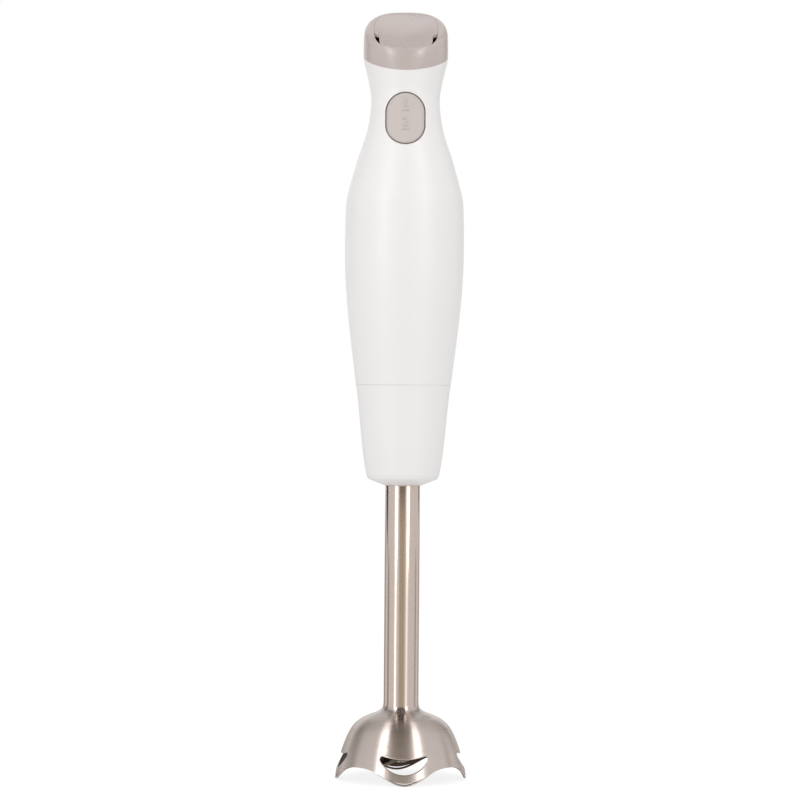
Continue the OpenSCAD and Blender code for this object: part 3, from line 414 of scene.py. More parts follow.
def oval_plug(name, loops, around=96):
    """Starts from a flat oval and draws it on, loop by loop.
    A loop is how far it lies outside the button's edge, and how deep under the grip's skin, or at which y."""
    half_step = math.pi / around
    straight = (button_h - button_w) / 2
    bpy.ops.mesh.primitive_circle_add(
        vertices=around, radius=button_w / 2 * mm, fill_type="NGON",
        rotation=(math.pi / 2, half_step, 0), location=(0, 0, button_z * mm))
    piece = settle(bpy.context.object)
    piece.name = name
    bpy.ops.object.mode_set(mode="EDIT")
    mesh = bmesh.from_edit_mesh(piece.data)
    for corner in mesh.verts:
        corner.co.z += straight * mm if corner.co.z > button_z * mm else -straight * mm
    for number, (outset, depth, y) in enumerate(loops):
        if number:
            bpy.ops.mesh.extrude_region_move()
            mesh = bmesh.from_edit_mesh(piece.data)
        for corner in [v for v in mesh.verts if v.select]:
            middle = button_z + (straight if corner.co.z > button_z * mm else -straight)
            way = (corner.co.x, corner.co.z - middle * mm)
            reach = (button_w / 2 + outset) / math.hypot(*way)
            x, z = way[0] * reach, middle + way[1] * reach
            if y is None:
                corner.co = (x * mm, (depth - math.sqrt(across(grip_line, z) ** 2 - x * x)) * mm, z * mm)
            else:
                corner.co = (x * mm, y * mm, z * mm)
        bmesh.update_edit_mesh(piece.data)
    bpy.ops.mesh.select_all(action="SELECT")
    bpy.ops.mesh.normals_make_consistent(inside=False)
    bpy.ops.object.mode_set(mode="OBJECT")
    return piece


lip = button_gap + 0.32
combine(grip, oval_plug("opening", [
    (button_gap, None, -4), (button_gap, 1.0, None), (button_gap, 0.35, None),
    (button_gap + 0.08, 0.12, None), (lip, -0.03, None), (lip, None, -40)]))
finished(grip, white_shell, "motor_unit", "white_shell", "main_housing")


# ---------------------------------------------------------------------------------------------
# Button: a grey-beige moulding in the oval opening, with a flange behind the wall and a slightly
# dished face, on which the speeds 1 and 2 are raised with a bar under each. Its middle post works
# the switch, and two coiled springs on the other posts push it out again.
# ---------------------------------------------------------------------------------------------
button = oval_plug("speed_key", [
    (2.1, 3.85, None), (2.1, 2.45, None), (0.0, 2.4, None), (0.0, 0.3, None), (-0.03, 0.12, None),
    (-0.12, 0.02, None), (-0.95, -0.4, None), (-1.05, -0.43, None), (-1.2, -0.44, None), (-1.6, -0.4, None),
    (-2.4, -0.34, None), (-3.4, -0.3, None), (-4.6, -0.26, None), (-6.0, -0.24, None), (-7.4, -0.23, None),
    (-8.7, -0.23, None)])
spring_x, post_y, post_length = 6.0, -11.775, 4.45
for x, post_r in ((-spring_x, 2.3), (0.0, 2.0), (spring_x, 2.3)):
    bpy.ops.mesh.primitive_cylinder_add(
        vertices=32, radius=post_r * mm, depth=post_length * mm,
        rotation=(math.pi / 2, 0, 0), location=(x * mm, post_y * mm, button_z * mm))
    combine(button, bpy.context.object, "UNION")
beige_key = finish_of(
    "beige_key", moulded_skin,
    {"Colour": shade(206, 196, 192), "Roughness": 0.6, "Grain": 2400.0, "Drift": 0.04},
    {"Specular IOR Level": 0.3}, 0.008 * mm)

# The signs are made on a plane in front of the button, and each point is then brought back to its face
sign_size, sign_y, bar_w, bar_h, bar_drop = 5.8, -19.0, 3.8, 0.3, 3.5
sign_top, sign_edge, sign_root = 0.66, 0.2, -0.3
marks = []
for letter, z in (("1", 327.4), ("2", 318.2)):
    bpy.ops.object.text_add(rotation=(math.pi / 2, 0, 0), location=(0, sign_y * mm, z * mm))
    sign = bpy.context.object
    sign.data.body, sign.data.size, sign.data.extrude = letter, sign_size * mm, 0.5 * mm
    sign.data.bevel_depth, sign.data.bevel_resolution = 0.3 * mm, 0
    sign.data.align_x, sign.data.align_y = "CENTER", "CENTER"
    bpy.ops.object.convert(target="MESH")
    marks.append(settle(bpy.context.object))
    bpy.ops.mesh.primitive_cube_add(size=1, location=(0, sign_y * mm, (z - bar_drop) * mm))
    bpy.context.object.scale = (bar_w * mm, 1.0 * mm, bar_h * mm)
    bar = settle(bpy.context.object)
    bpy.ops.object.mode_set(mode="EDIT")
    bpy.ops.mesh.select_mode(type="FACE")
    bpy.ops.mesh.select_all(action="DESELECT")
    mesh = bmesh.from_edit_mesh(bar.data)
    for face in mesh.faces:
        face.select_set(face.normal.y < -0.9)
    bpy.ops.mesh.extrude_region_move(TRANSFORM_OT_translate={"value": (0, -0.3 * mm, 0)})
    bpy.ops.transform.resize(
        value=(0.86, 1, 0.3), center_override=(0, (sign_y - 0.8) * mm, (z - bar_drop) * mm))
    bpy.ops.mesh.select_mode(type="VERT")
    bpy.ops.object.mode_set(mode="OBJECT")
    marks.append(bar)
for mark in marks:
    for corner in mark.data.vertices:
        x, y, z = corner.co / mm
        height = sign_top if y < sign_y - 0.65 else sign_edge if y < sign_y else sign_root
        corner.co.y = -(math.sqrt(across(grip_line, z) ** 2 - x * x) + height) * mm
only(button, *marks)
bpy.ops.object.join()
finished(button, beige_key, "button", "beige_shell", "speed_button")


def round_wire(name, spots, radius, resolution, closed=False):
    """Round wire through these places in mm, closed to a ring or with flat ends."""
    path = bpy.data.curves.new(name, "CURVE")
    path.dimensions, path.bevel_depth, path.bevel_resolution = "3D", radius * mm, resolution
    path.use_fill_caps = not closed
    line = path.splines.new("POLY")
    line.points.add(len(spots) - 1)
    line.use_cyclic_u = closed
    for point, spot in zip(line.points, spots):
        point.co = (*(part * mm for part in spot), 1)
    wire = bpy.data.objects.new(name, path)
    bpy.context.collection.objects.link(wire)
    only(wire)
    bpy.ops.object.convert(target="MESH")
    return bpy.context.object


# Springs: coils of plated wire between the board and the button's posts
spring_r, wire_r, spring_rear, spring_front, spring_turns, turn_steps = 1.75, 0.3, -0.35, -9.2, 5, 24
pitch = (spring_front - spring_rear) / spring_turns
coils = []
for x in (-spring_x, spring_x):
    turns = [step / turn_steps for step in range(spring_turns * turn_steps + 1)]
    coils.append(round_wire("button_springs", [
        (x + spring_r * math.cos(2 * math.pi * turn), spring_rear + pitch * turn,
         button_z + spring_r * math.sin(2 * math.pi * turn)) for turn in turns], wire_r, 2))
only(*coils)
bpy.ops.object.join()
springs = bpy.context.object
springs.name = "button_coils"
finished(springs, zinc_plate, "motor_unit", "zinc_steel", "button_springs")
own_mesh(springs)


# ---------------------------------------------------------------------------------------------
# Cap: a grey-beige ABS moulding that closes the grip. Its face slopes down to the front, with a
# broad soft rounding, and a soft-cornered opening takes the panel, with a vent at each side of it.
# ---------------------------------------------------------------------------------------------
face_z, face_tilt, cap_side, cap_roof = 365.9, 31.5, 2.0, 2.35
rim_round, rim_round_more, back_in, back_z, back_h = 2.6, 0.6, 2.2, 361.0, 12.0
opening_w, opening_l, opening_y, opening_square, opening_depth = 15.6, 16.4, -2.5, 3.0, 2.5
rise = math.tan(math.radians(face_tilt))


def trim(piece, z, tilt, keep_below=True):
    """Slices a piece at a plane that climbs towards the back, and closes the cut."""
    lean = math.radians(tilt)
    only(piece)
    bpy.ops.object.mode_set(mode="EDIT")
    bpy.ops.mesh.select_all(action="SELECT")
    bpy.ops.mesh.bisect(
        plane_co=(0, 0, z * mm), plane_no=(0, -math.sin(lean), math.cos(lean)), use_fill=True,
        clear_outer=keep_below, clear_inner=not keep_below, threshold=0.0001 * mm)
    bpy.ops.object.mode_set(mode="OBJECT")
    return piece


def soften(piece, chosen, width, segments):
    """Rounds the edges that a test picks, by the places of their two ends in mm."""
    only(piece)
    bpy.ops.object.mode_set(mode="EDIT")
    bpy.ops.mesh.select_mode(type="EDGE")
    bpy.ops.mesh.select_all(action="DESELECT")
    mesh = bmesh.from_edit_mesh(piece.data)
    for edge in mesh.edges:
        if all(chosen(*(corner.co / mm)) for corner in edge.verts):
            edge.select_set(True)
    bmesh.update_edit_mesh(piece.data)
    bpy.ops.mesh.bevel(offset=width * mm, segments=segments, profile=0.5, affect="EDGES", clamp_overlap=False)
    bpy.ops.mesh.select_mode(type="VERT")
    bpy.ops.object.mode_set(mode="OBJECT")
    return piece


def square_share(x, y, w, l, square):
    """Below 1 inside an oval with squared corners round the opening's middle, and above 1 outside it."""
    return abs(x / w) ** square + abs((y - opening_y) / l) ** square


def square_prism(name, w, l, square, low=345, high=385, around=144):
    """An upright prism on such an oval."""
    bpy.ops.mesh.primitive_circle_add(vertices=around, radius=10 * mm, fill_type="NGON")
    prism = bpy.context.object
    prism.name = name
    for corner in prism.data.vertices:
        x, y = corner.co.x / (10 * mm), corner.co.y / (10 * mm)
        corner.co = (
            w * math.copysign(abs(x) ** (2 / square), x) * mm,
            (opening_y + l * math.copysign(abs(y) ** (2 / square), y)) * mm, low * mm)
    return drawn_out(prism, 0, 0, high - low)


def looped(name, loops):
    """Starts from a ring of points and draws it on, loop by loop, back to where it began."""
    bpy.ops.mesh.primitive_circle_add(vertices=len(loops[0]), radius=mm)
    piece = bpy.context.object
    piece.name = name
    bpy.ops.object.mode_set(mode="EDIT")
    mesh = bmesh.from_edit_mesh(piece.data)
    order = mesh.verts.layers.int.new("order")
    for number, corner in enumerate(mesh.verts):
        corner[order] = number
    for number, loop in enumerate(loops + loops[:1]):
        if number:
            bpy.ops.mesh.extrude_region_move()
            mesh = bmesh.from_edit_mesh(piece.data)
            order = mesh.verts.layers.int["order"]
        for corner in mesh.verts:
            if corner.select:
                corner.co = [part * mm for part in loop[corner[order]]]
        bmesh.update_edit_mesh(piece.data)
    bpy.ops.mesh.select_all(action="SELECT")
    bpy.ops.mesh.remove_doubles(threshold=0.0005 * mm)
    bpy.ops.mesh.normals_make_consistent(inside=False)
    bpy.ops.object.mode_set(mode="OBJECT")
    piece.data.attributes.remove(piece.data.attributes["order"])
    return piece


cap_line = [p for p in grip_line if 334 < p[1] < 360.5] + [
    (20.4, 362.0), (20.24, 363.3), (20.08, 364.6), (20.0, 366.0), (20.0, 381.0)]


def cap_wall(turn, z, gap=0.0):
    """The cap's radius at a turn and a height. The top of its back is drawn in."""
    share = min(max((z - back_z) / back_h, 0), 1)
    return across(cap_line, z) - gap - back_in * max(math.sin(turn), 0) ** 6 * share ** 2 * (3 - 2 * share)


def meets(turn, level, gap=0.0):
    """Radius and height where the cap's wall meets a face, given as a height for each y."""
    z = level(0)
    for _ in range(20):
        z = level(cap_wall(turn, z, gap) * math.sin(turn))
    return cap_wall(turn, z, gap), z


def cap_face(y):
    return face_z + y * rise


def cap_section(turn):
    """The cap's wall at one turn: up the outside, round the rim, in over the face, and down the inside."""
    x, y = math.cos(turn), math.sin(turn)
    slope = rise * y
    low_r, low = meets(turn, head_seam)
    top_r, top = meets(turn, cap_face)
    round_off = rim_round + rim_round_more * max(y, 0) ** 2
    first, start, length = low + 0.08, top - round_off, math.hypot(1, slope)
    spots = [(low_r - 0.08, low), (low_r, first)]
    spots += [(cap_wall(turn, z), z) for z in (first + (start - first) * k / 10 for k in range(1, 10))]
    stop_r, stop = top_r - round_off / length, top - round_off * slope / length
    lean = math.sin(math.acos(slope / length) / 2)
    for k in range(13):
        a, b, c = (1 - k / 12) ** 2, 2 * lean * (k / 12) * (1 - k / 12), (k / 12) ** 2
        spots.append(tuple((a * p + b * q + c * s) / (a + b + c) for p, q, s in zip(
            (cap_wall(turn, start), start), (top_r, top), (stop_r, stop))))
    # The middle stays open, inside the line of the opening
    open_r = 8.0
    spots += [(open_r, face_z + open_r * slope), (open_r, face_z + open_r * slope - cap_roof)]
    hollow = meets(turn, lambda y: cap_face(y) - cap_roof, cap_side)[1]
    foot = meets(turn, head_seam, cap_side)[1]
    spots += [(cap_wall(turn, z, cap_side), z) for z in (hollow + (foot - hollow) * k / 6 for k in range(7))]
    return [(r * x, r * y, z) for r, z in spots]


cap_steps = 160
sections = [cap_section(2 * math.pi * step / cap_steps) for step in range(cap_steps)]
cap = looped("cap_shell", [list(loop) for loop in zip(*sections)])
cut = square_prism("cap_opening", opening_w, opening_l, opening_square, around=240)
combine(cap, trim(cut, face_z - opening_depth, face_tilt, keep_below=False))
soften(cap, lambda x, y, z: z > cap_face(y) - 1.2
       and abs(square_share(x, y, opening_w, opening_l, opening_square) - 1) < 0.02, 0.12, 3)

# A round boss at the back, bored for the cord's gland
gland_z, boss_y, boss_r, boss_length, bore_r = 362.893, 20.8, 6.5, 3.7, 4.85
bpy.ops.mesh.primitive_cylinder_add(
    vertices=96, radius=boss_r * mm, depth=boss_length * mm, rotation=(math.pi / 2, 0, 0),
    location=(0, (boss_y - boss_length / 2) * mm, gland_z * mm))
combine(cap, bpy.context.object, "UNION")
bpy.ops.mesh.primitive_cylinder_add(
    vertices=64, radius=bore_r * mm, depth=12 * mm, rotation=(math.pi / 2, 0, 0),
    location=(0, 20 * mm, gland_z * mm))
combine(cap, bpy.context.object)
beige_shell = finish_of(
    "beige_shell", moulded_skin,
    {"Colour": shade(197, 184, 180), "Roughness": 0.28, "Grain": 2400.0, "Drift": 0.03}, {}, 0.005 * mm)
finished(cap, beige_shell, "motor_unit", "beige_shell", "top_cap")

# The cap's inside is rough, and its dark brown colour is painted shade, for the dark that shows through the
# vents
cap_inside_painted_shade = finish_of(
    "cap_inside_painted_shade", moulded_skin,
    {"Colour": shade(132, 103, 86), "Roughness": 0.7, "Grain": 1200.0, "Drift": 0.2}, {}, 0.03 * mm)
cap.data.materials.append(cap_inside_painted_shade)
for face in cap.data.polygons:
    x, y, z = face.center / mm
    inward = face.normal.x * x + face.normal.y * y < -0.2
    if (head_seam(y) + 0.3 < z < cap_face(y) - cap_roof + 0.15 and (inward or face.normal.z < -0.3)
            and math.hypot(x, y) < cap_wall(math.atan2(y, x), z) - 0.8):
        face.material_index = 1

# Panel: a plate that lies in the opening, with a corner cut away at each side of its front for the vents
panel_w, panel_l = opening_w - 0.05, opening_l - 0.05
panel_z, panel_tilt, panel_wall = face_z - 0.12, 32.3, 2.3
vent_w, vent_turn, vent_x, vent_y, vent_block = 2.6, 25, 28.0, -20.4, 40.0


def panel_face(y):
    return panel_z + y * math.tan(math.radians(panel_tilt))


panel = square_prism("cap_panel_plate", panel_w, panel_l, opening_square)
for side in (-1, 1):
    bpy.ops.mesh.primitive_cube_add(
        size=vent_block * mm, location=(side * vent_x * mm, vent_y * mm, 365 * mm),
        rotation=(0, 0, side * math.radians(vent_turn)))
    corner_cut = settle(bpy.context.object)
    combine(corner_cut, square_prism("panel_front", opening_w - vent_w, panel_l, 5.5, 320, 410))
    combine(panel, corner_cut)
trim(panel, panel_z, panel_tilt)
trim(panel, panel_z - panel_wall, panel_tilt, keep_below=False)
soften(panel, lambda x, y, z: abs(z - panel_face(y)) < 0.01, 0.07, 2)
finished(panel, beige_shell, "motor_unit", "beige_shell", "cap_panel")
# The deep walls of the vent notches get the same dark colour: painted shade inside the vents
panel.data.materials.append(cap_inside_painted_shade)
for face in panel.data.polygons:
    x, y, z = face.center / mm
    if z < panel_face(y) - 1.2 and y < 0:
        face.material_index = 1

# Gland: a soft rubber sleeve through the back of the cap, with a round flange outside
gland = turned("cord_inlet_gland", [
    (3.5, 22.1), (3.8, 22.4), (5.4, 22.4), (5.8, 22.25), (6.0, 21.85), (6.0, 20.82), (4.8, 20.82),
    (4.8, 17.1), (5.3, 17.1), (5.3, 15.9), (5.0, 15.6), (3.5, 15.6), (3.5, 18.6), (3.75, 18.9), (3.75, 19.4),
    (3.5, 19.7)],
    around=72, along="Y", at=(0, 0, gland_z))
grey_rubber = finish_of(
    "grey_rubber", moulded_skin,
    {"Colour": shade(112, 109, 108), "Roughness": 0.6, "Grain": 1700.0, "Drift": 0.15}, {}, 0.02 * mm)
finished(gland, grey_rubber, "motor_unit", "grey_rubber", "cord_gland")
dress(grey_rubber, "foot_seal")


# ---------------------------------------------------------------------------------------------
# Foot collar: the white ABS skirt that the hand turns. It carries the grip's line on down to a
# rounded shoulder, and a shallow cone closes it round the steel tube.
# ---------------------------------------------------------------------------------------------
collar_low, collar_top, collar_bore, collar_floor = 142.8, seam_z - 0.06, 8.52, 149.3
collar_points = [
    (16.4, 145.6), (17.1, 146.3), (17.6, 147.5), (18.0, 149.0), (19.63, 159.8), (22.08, 183.8),
    (seam_r, seam_z)]
collar_skin = [p for p in flowing(collar_points, 8) if p[1] < collar_top - 0.2]
collar = turned("collar_shell", [
    (collar_bore, collar_low + 0.3), (8.8, collar_low), (9.2, collar_low), *collar_skin,
    (seam_r - 0.01, collar_top - 0.05), (seam_r - 0.06, collar_top), (seam_r - grip_wall, collar_top),
    *[(r - grip_wall, z) for r, z in reversed(collar_skin) if z > collar_floor], (collar_bore, collar_floor)])
finished(collar, white_shell, "foot", "white_shell", "foot_collar")


# ---------------------------------------------------------------------------------------------
# Tube and guard: drawn and polished stainless tube, brazed to the neck of a pressed stainless bell.
# The bell has four lobed feet with arches between them, and a smiling slot in each lobe, all with
# rolled rims. It is brushed outside and left as pressed inside, and the inside's dark colour is painted
# shade.
# ---------------------------------------------------------------------------------------------
tube_r, tube_wall, tube_low, tube_top = 8.5, 0.8, 37.02, 170.6
polished_steel = finish_of(
    "polished_steel", brushed_metal,
    {"Colour": shade(196, 182, 172), "Roughness": 0.17, "Lines": (90, 90, 5200), "Contrast": 0.05},
    {"Metallic": 1.0}, 0.0012 * mm)
tube = turned("foot_tube_polished", [
    (tube_r - tube_wall, tube_low), (tube_r, tube_low), (tube_r, tube_top - 0.3), (tube_r - 0.15, tube_top),
    (tube_r - tube_wall + 0.15, tube_top), (tube_r - tube_wall, tube_top - 0.3)], around=128)
finished(tube, polished_steel, "foot", "stainless", "foot_tube")

guard_r, guard_h, guard_turn, sheet = 32.0, 37.0, math.radians(3.5), 1.0
rim_r, rim_steps, arch_h, arch_square = 0.52, 288, 8.2, 2.6
guard_points = [
    (0, 1), (0.022, 0.932), (0.12, 0.879), (0.319, 0.828), (0.489, 0.773), (0.638, 0.688), (0.745, 0.573),
    (0.843, 0.418), (0.915, 0.27), (0.974, 0.122), (1, 0)]
guard_line = flowing([(tube_r + (guard_r - 0.08 - tube_r) * a, guard_h * b) for a, b in guard_points], 5)


def beside(line, gap):
    """The line moved sideways, to the inside of the bell."""
    moved = []
    for i, (r, z) in enumerate(line):
        (r0, z0), (r1, z1) = line[max(i - 1, 0)], line[min(i + 1, len(line) - 1)]
        length = math.hypot(r1 - r0, z1 - z0)
        moved.append((r + gap * (z1 - z0) / length, z - gap * (r1 - r0) / length))
    return moved


guard_inner = beside(guard_line, sheet)
guard_middle = beside(guard_line, sheet / 2)
skirt_r, skirt_low = guard_line[-1][0] + 0.1, -1.5
guard = turned("blade_guard_bell", [
    *guard_line, (skirt_r, skirt_low), (skirt_r - sheet, skirt_low),
    *[p for p in reversed(guard_inner) if 0.2 < p[1] < guard_h - 0.01],
    (tube_r - sheet, guard_h)], around=192)


def slot_outline():
    """One slot as seen square on: between two arcs, with rounded ends."""
    low, high, under_r, over_r, end_r = 4.9, 12.8, 13.8, 34.0, 1.9
    under_z, over_z = low + under_r, high + over_r
    apart, to_under, to_over = over_z - under_z, under_r - end_r, over_r + end_r
    up = (to_under ** 2 - to_over ** 2 + apart ** 2) / (2 * apart)
    out = math.sqrt(to_under ** 2 - up ** 2)
    a, b = math.atan2(up, out), math.atan2(up - apart, out)

    def arc(r, x, z, start, stop, steps):
        turns = (start + (stop - start) * i / steps for i in range(1, steps))
        return [(x + r * math.cos(t), z + r * math.sin(t)) for t in turns]
    return [
        *arc(under_r, 0, under_z, -math.pi - a, a, 40), *arc(end_r, out, under_z + up, a, b + math.pi, 10),
        *arc(over_r, 0, over_z, b, -math.pi - b, 24), *arc(end_r, -out, under_z + up, -b, math.pi - a, 10)]


def rim_height(turn):
    """How high the middle of the rolled rim lies over the ground, from foot to arch to foot."""
    return rim_r + arch_h * (1 - abs(math.cos(2 * turn)) ** arch_square)


slot = slot_outline()
for lobe in range(4):
    # A prism through each slot, seen square on from its lobe
    bpy.ops.mesh.primitive_circle_add(vertices=len(slot), radius=10 * mm, fill_type="NGON")
    prism = bpy.context.object
    for corner, (y, z) in zip(prism.data.vertices, slot):
        corner.co = (15 * mm, y * mm, z * mm)
    drawn_out(prism, 30, 0, 0)
    prism.rotation_euler.z = guard_turn + lobe * math.pi / 2
    combine(guard, prism)

# The ground, drawn up into the arches, cuts the bell's edge
bpy.ops.mesh.primitive_cylinder_add(
    vertices=rim_steps, radius=40 * mm, depth=20 * mm, location=(0, 0, -10 * mm))
ground = settle(bpy.context.object)
for corner in ground.data.vertices:
    if corner.co.z > -1 * mm:
        corner.co.z = rim_height(math.atan2(corner.co.y, corner.co.x) - guard_turn) * mm
bpy.ops.object.mode_set(mode="EDIT")
bpy.ops.mesh.select_all(action="DESELECT")
bpy.ops.mesh.select_mode(type="FACE")
mesh = bmesh.from_edit_mesh(ground.data)
for side in mesh.faces:
    side.select_set(len(side.verts) > 4 and side.calc_center_median().z > -1 * mm)
bmesh.update_edit_mesh(ground.data)
bpy.ops.mesh.poke()
bpy.ops.mesh.select_mode(type="VERT")
bpy.ops.object.mode_set(mode="OBJECT")
combine(guard, ground)


def on_guard(z, turn):
    """A place in the middle of the bell's sheet."""
    r = across(guard_middle, z)
    return (r * math.cos(turn + guard_turn), r * math.sin(turn + guard_turn), z)


rim_turns = [2 * math.pi * step / rim_steps for step in range(rim_steps)]
rims = [round_wire(
    "foot_rim", [on_guard(rim_height(turn), turn) for turn in rim_turns], rim_r, 3, closed=True)]
for lobe in range(4):
    rims.append(round_wire("slot_rim", [
        on_guard(z, lobe * math.pi / 2 + math.asin(y / across(guard_middle, z))) for y, z in slot],
        rim_r, 3, closed=True))
only(guard, *rims)
bpy.ops.object.join()
satin_steel = finish_of(
    "satin_steel", brushed_metal,
    {"Colour": shade(196, 184, 177), "Roughness": 0.38, "Lines": (240, 240, 9000), "Contrast": 0.14},
    {"Metallic": 1.0, "Anisotropic": 1.0, "Anisotropic Rotation": 0.25}, 0.0015 * mm)
tree = satin_steel.node_tree
round_it = add(tree, "Tangent", direction_type="RADIAL", axis="Z")
tree.links.new(round_it.outputs[0], tree.nodes["Principled BSDF"].inputs["Tangent"])

# The shoulder round the brazed joint is blasted, not brushed, and its colour turns a little darker towards
# the top
height = add(tree, "SeparateXYZ", {0: tree.nodes["Texture Coordinate"].outputs["Object"]})
neck = spread(tree, height.outputs["Z"], (28.6 * mm, 30.6 * mm), interpolation_type="SMOOTHSTEP")
tree.links.new(darker(tree, shade(209, 197, 190)[:3], neck, 0.12), tree.nodes["Group"].inputs["Colour"])
tree.links.new(spread(tree, neck, target=(0.36, 0.27)), tree.nodes["Group"].inputs["Roughness"])
finished(guard, satin_steel, "foot", "stainless", "blade_guard", angle=50)

# The bell's inside is left as it was pressed and dull; its dark colour, also on the faces that look down, is
# painted shade
pressed_steel_painted_shade = finish_of(
    "pressed_steel_painted_shade", brushed_metal,
    {"Colour": shade(104, 88, 77), "Roughness": 0.5, "Lines": (300, 300, 900), "Contrast": 0.2},
    {"Metallic": 0.8}, 0.006 * mm)
guard.data.materials.append(pressed_steel_painted_shade)
guard.data.materials.append(polished_steel)
for face in guard.data.polygons:
    x, y, z = face.center / mm
    r = math.hypot(x, y)
    if r < across(guard_line, z) - 0.75 * sheet and r > tube_r and z < guard_h - 5 or face.normal.z < -0.8:
        face.material_index = 1
    elif z > guard_h - 1.6 and r > tube_r - 0.5:
        face.material_index = 2

dress(satin_steel, "guard_hub", "spacer_sleeve", "blade_nut")
dress(ground_steel, "blade_shaft")
# The blade is given a dark colour, painted shade for where it lies in the dark under the bell
dress(finish_of(
    "blade_steel_painted_shade", brushed_metal,
    {"Colour": shade(138, 126, 116), "Roughness": 0.34, "Lines": (1800, 1800, 300), "Contrast": 0.16},
    {"Metallic": 1.0}, 0.005 * mm), "blade")
dress(white_nylon, "driven_coupling", "thrust_washer")


# ---------------------------------------------------------------------------------------------
# Studio: a plain white floor and surround, level soft light with one large lamp in front, strips of
# light and grey cards that only polished things mirror, and a camera level with the blender's middle.
# ---------------------------------------------------------------------------------------------
world = bpy.data.worlds.new("studio")
bpy.context.scene.world = world
world.use_nodes = True
sky = world.node_tree
sky.nodes.clear()
rays = add(sky, "LightPath").outputs
seen = worked(sky, "MAXIMUM", rays["Is Camera Ray"], rays["Is Glossy Ray"])
seen = worked(sky, "MAXIMUM", seen, rays["Is Transmission Ray"])
soft = add(sky, "Background", {"Color": (1.0, 0.995, 0.997, 1), "Strength": 0.885})
white = add(sky, "Background", {"Color": (1, 1, 1, 1), "Strength": 1.0})
both = add(sky, "MixShader", {"Fac": seen, 1: soft.outputs[0], 2: white.outputs[0]})
sky.links.new(both.outputs[0], add(sky, "OutputWorld").inputs["Surface"])

bpy.ops.mesh.primitive_plane_add(size=12, location=(0, 0, 0))
floor = bpy.context.object
floor.name = "floor"
floor_white = bpy.data.materials.new("floor_white")
floor_white.use_nodes = True
tree = floor_white.node_tree
tree.nodes.clear()
rays = add(tree, "LightPath").outputs
matt = add(tree, "BsdfDiffuse", {"Color": (0.86, 0.86, 0.86, 1)})
shown = add(tree, "BsdfDiffuse", {"Color": (0.2, 0.2, 0.2, 1)})
glow = add(tree, "Emission", {"Color": (1, 1, 1, 1), "Strength": 0.85})
pale = add(tree, "AddShader", {0: shown.outputs[0], 1: glow.outputs[0]})
seen = worked(tree, "MAXIMUM", rays["Is Camera Ray"], rays["Is Transmission Ray"])
both = add(tree, "MixShader", {"Fac": seen, 1: matt.outputs[0], 2: pale.outputs[0]})

# From below, the camera looks through it at the foot's underside. Past the guard's edge, what
# polished steel mirrors is the white surround and the low ends of the cards
away = add(tree, "VectorMath", {0: add(tree, "TexCoord").outputs["Object"]}, operation="LENGTH")
past_edge = spread(tree, away.outputs["Value"], (22 * mm, 34 * mm))
mirrored = worked(tree, "MULTIPLY", rays["Is Glossy Ray"], past_edge)
below = worked(tree, "MULTIPLY", rays["Is Camera Ray"], add(tree, "NewGeometry").outputs["Backfacing"])
both = add(tree, "MixShader", {
    "Fac": worked(tree, "MAXIMUM", below, mirrored), 1: both.outputs[0],
    2: add(tree, "BsdfTransparent").outputs[0]})
tree.links.new(both.outputs[0], add(tree, "OutputMaterial").inputs["Surface"])
floor.data.materials.append(floor_white)
# The blender stands on its foot, so the floor stays under the foot when it is unscrewed
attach(floor, "foot")


def mirror_card(name, turn, width, low, length, away, colour, strength=1.0, lean=0.0):
    """A card that only glossy things see. It stands at a turn from the front and may lean in at the top."""
    around, tip = math.radians(turn), math.radians(lean)
    out = away - math.sin(tip) * length / 2
    bpy.ops.mesh.primitive_plane_add(
        size=1, rotation=(math.pi / 2 - tip, 0, around),
        location=(math.sin(around) * out, -math.cos(around) * out, low + math.cos(tip) * length / 2))
    card = bpy.context.object
    card.name = name
    card.scale = (width, length, 1)
    settle(card)
    card.visible_camera = card.visible_diffuse = card.visible_shadow = False
    card.visible_transmission = card.visible_volume_scatter = False
    paper = bpy.data.materials.new(name)
    paper.use_nodes = True
    paper.node_tree.nodes.clear()
    lit = add(paper.node_tree, "Emission", {"Color": colour, "Strength": strength})
    paper.node_tree.links.new(lit.outputs[0], add(paper.node_tree, "OutputMaterial").inputs["Surface"])
    card.data.materials.append(paper)


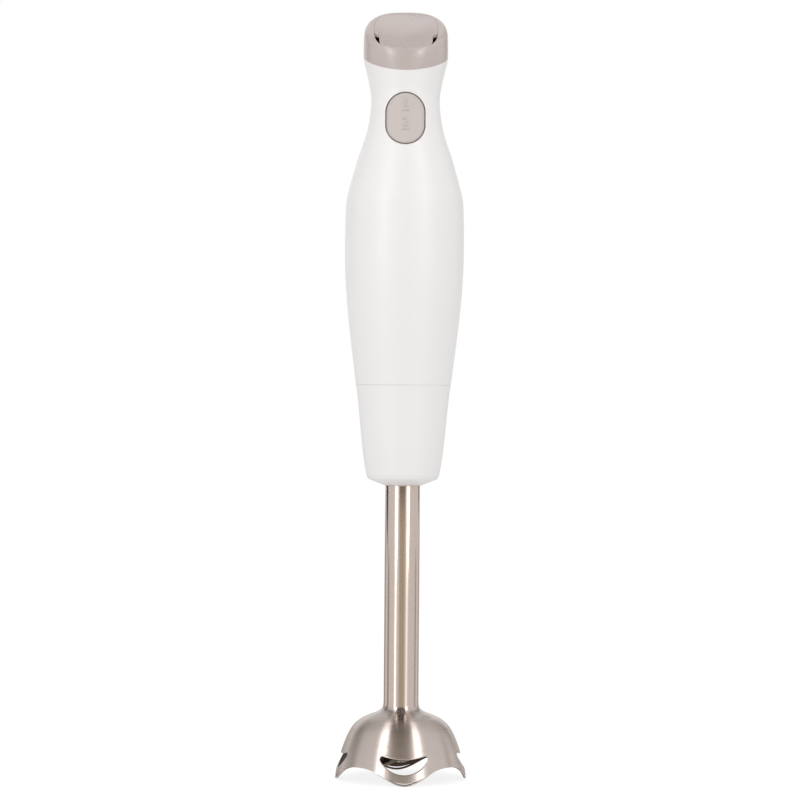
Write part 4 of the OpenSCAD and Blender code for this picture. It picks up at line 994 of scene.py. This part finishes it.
# Each card's turn, width, low end, length, distance, colour, strength and lean
mirror_card("strip_left", -41.5, 0.16, -0.3, 0.57, 0.9, (0.97, 0.99, 1, 1), 3.0)
mirror_card("strip_left_high", -40.3, 0.21, 0.27, 2.3, 0.9, (1, 0.99, 0.98, 1), 6.5, 6)
mirror_card("strip_right", 33.5, 0.15, -0.3, 0.57, 0.9, (0.95, 0.97, 0.97, 1), 2.1)
mirror_card("strip_right_high", 38.6, 0.2, 0.27, 2.3, 0.9, (1, 0.98, 0.96, 1), 6.5, 6)
mirror_card("front_card", 0, 0.72, -0.3, 0.8, 1.1, (0.66, 0.58, 0.47, 1))
mirror_card("front_card_high", 0, 0.8, 0.5, 2.9, 1.1, (0.09, 0.075, 0.063, 1), 1.0, 50)
mirror_card("side_card_left", -99, 0.24, -0.3, 0.5, 0.9, (0.45, 0.41, 0.38, 1))
mirror_card("side_card_left_high", -122, 0.36, 0.2, 1.5, 0.9, (0.06, 0.05, 0.045, 1), 1.0, 30)
mirror_card("side_card_right", 102, 0.2, -0.3, 0.5, 0.9, (0.55, 0.5, 0.46, 1))
mirror_card("side_card_right_high", 138, 0.3, 0.2, 1.5, 0.9, (0.22, 0.19, 0.17, 1), 1.0, 30)
mirror_card("back_card_left", -160, 1.0, -0.3, 0.46, 1.0, (0.52, 0.48, 0.45, 1))
mirror_card("back_card_right", 160, 1.0, -0.3, 0.46, 1.0, (0.6, 0.56, 0.54, 1))

bpy.ops.object.light_add(type="AREA", location=(-0.35, -1.6, 1.1))
key = bpy.context.object
key.name = "key_light"
key.data.shape, key.data.size, key.data.energy = "DISK", 1.4, 5.0
key.data.color = (1.0, 0.985, 0.97)
key.rotation_euler = (math.radians(61), 0, math.radians(-12))
key.visible_glossy = False

eye_x, eye_away, eye_z, eye_roll = -1.6, 1376.0, 184.3, 0.43
bpy.ops.object.camera_add(location=(eye_x * mm, -eye_away * mm, eye_z * mm), rotation=(math.pi / 2, 0, 0))
camera = bpy.context.object
camera.name = "camera"
camera.data.lens, camera.data.sensor_width = 127.0, 36.0
camera.rotation_euler.rotate_axis("Z", math.radians(eye_roll))
bpy.context.scene.camera = camera
bpy.context.scene.view_settings.view_transform = "Standard"
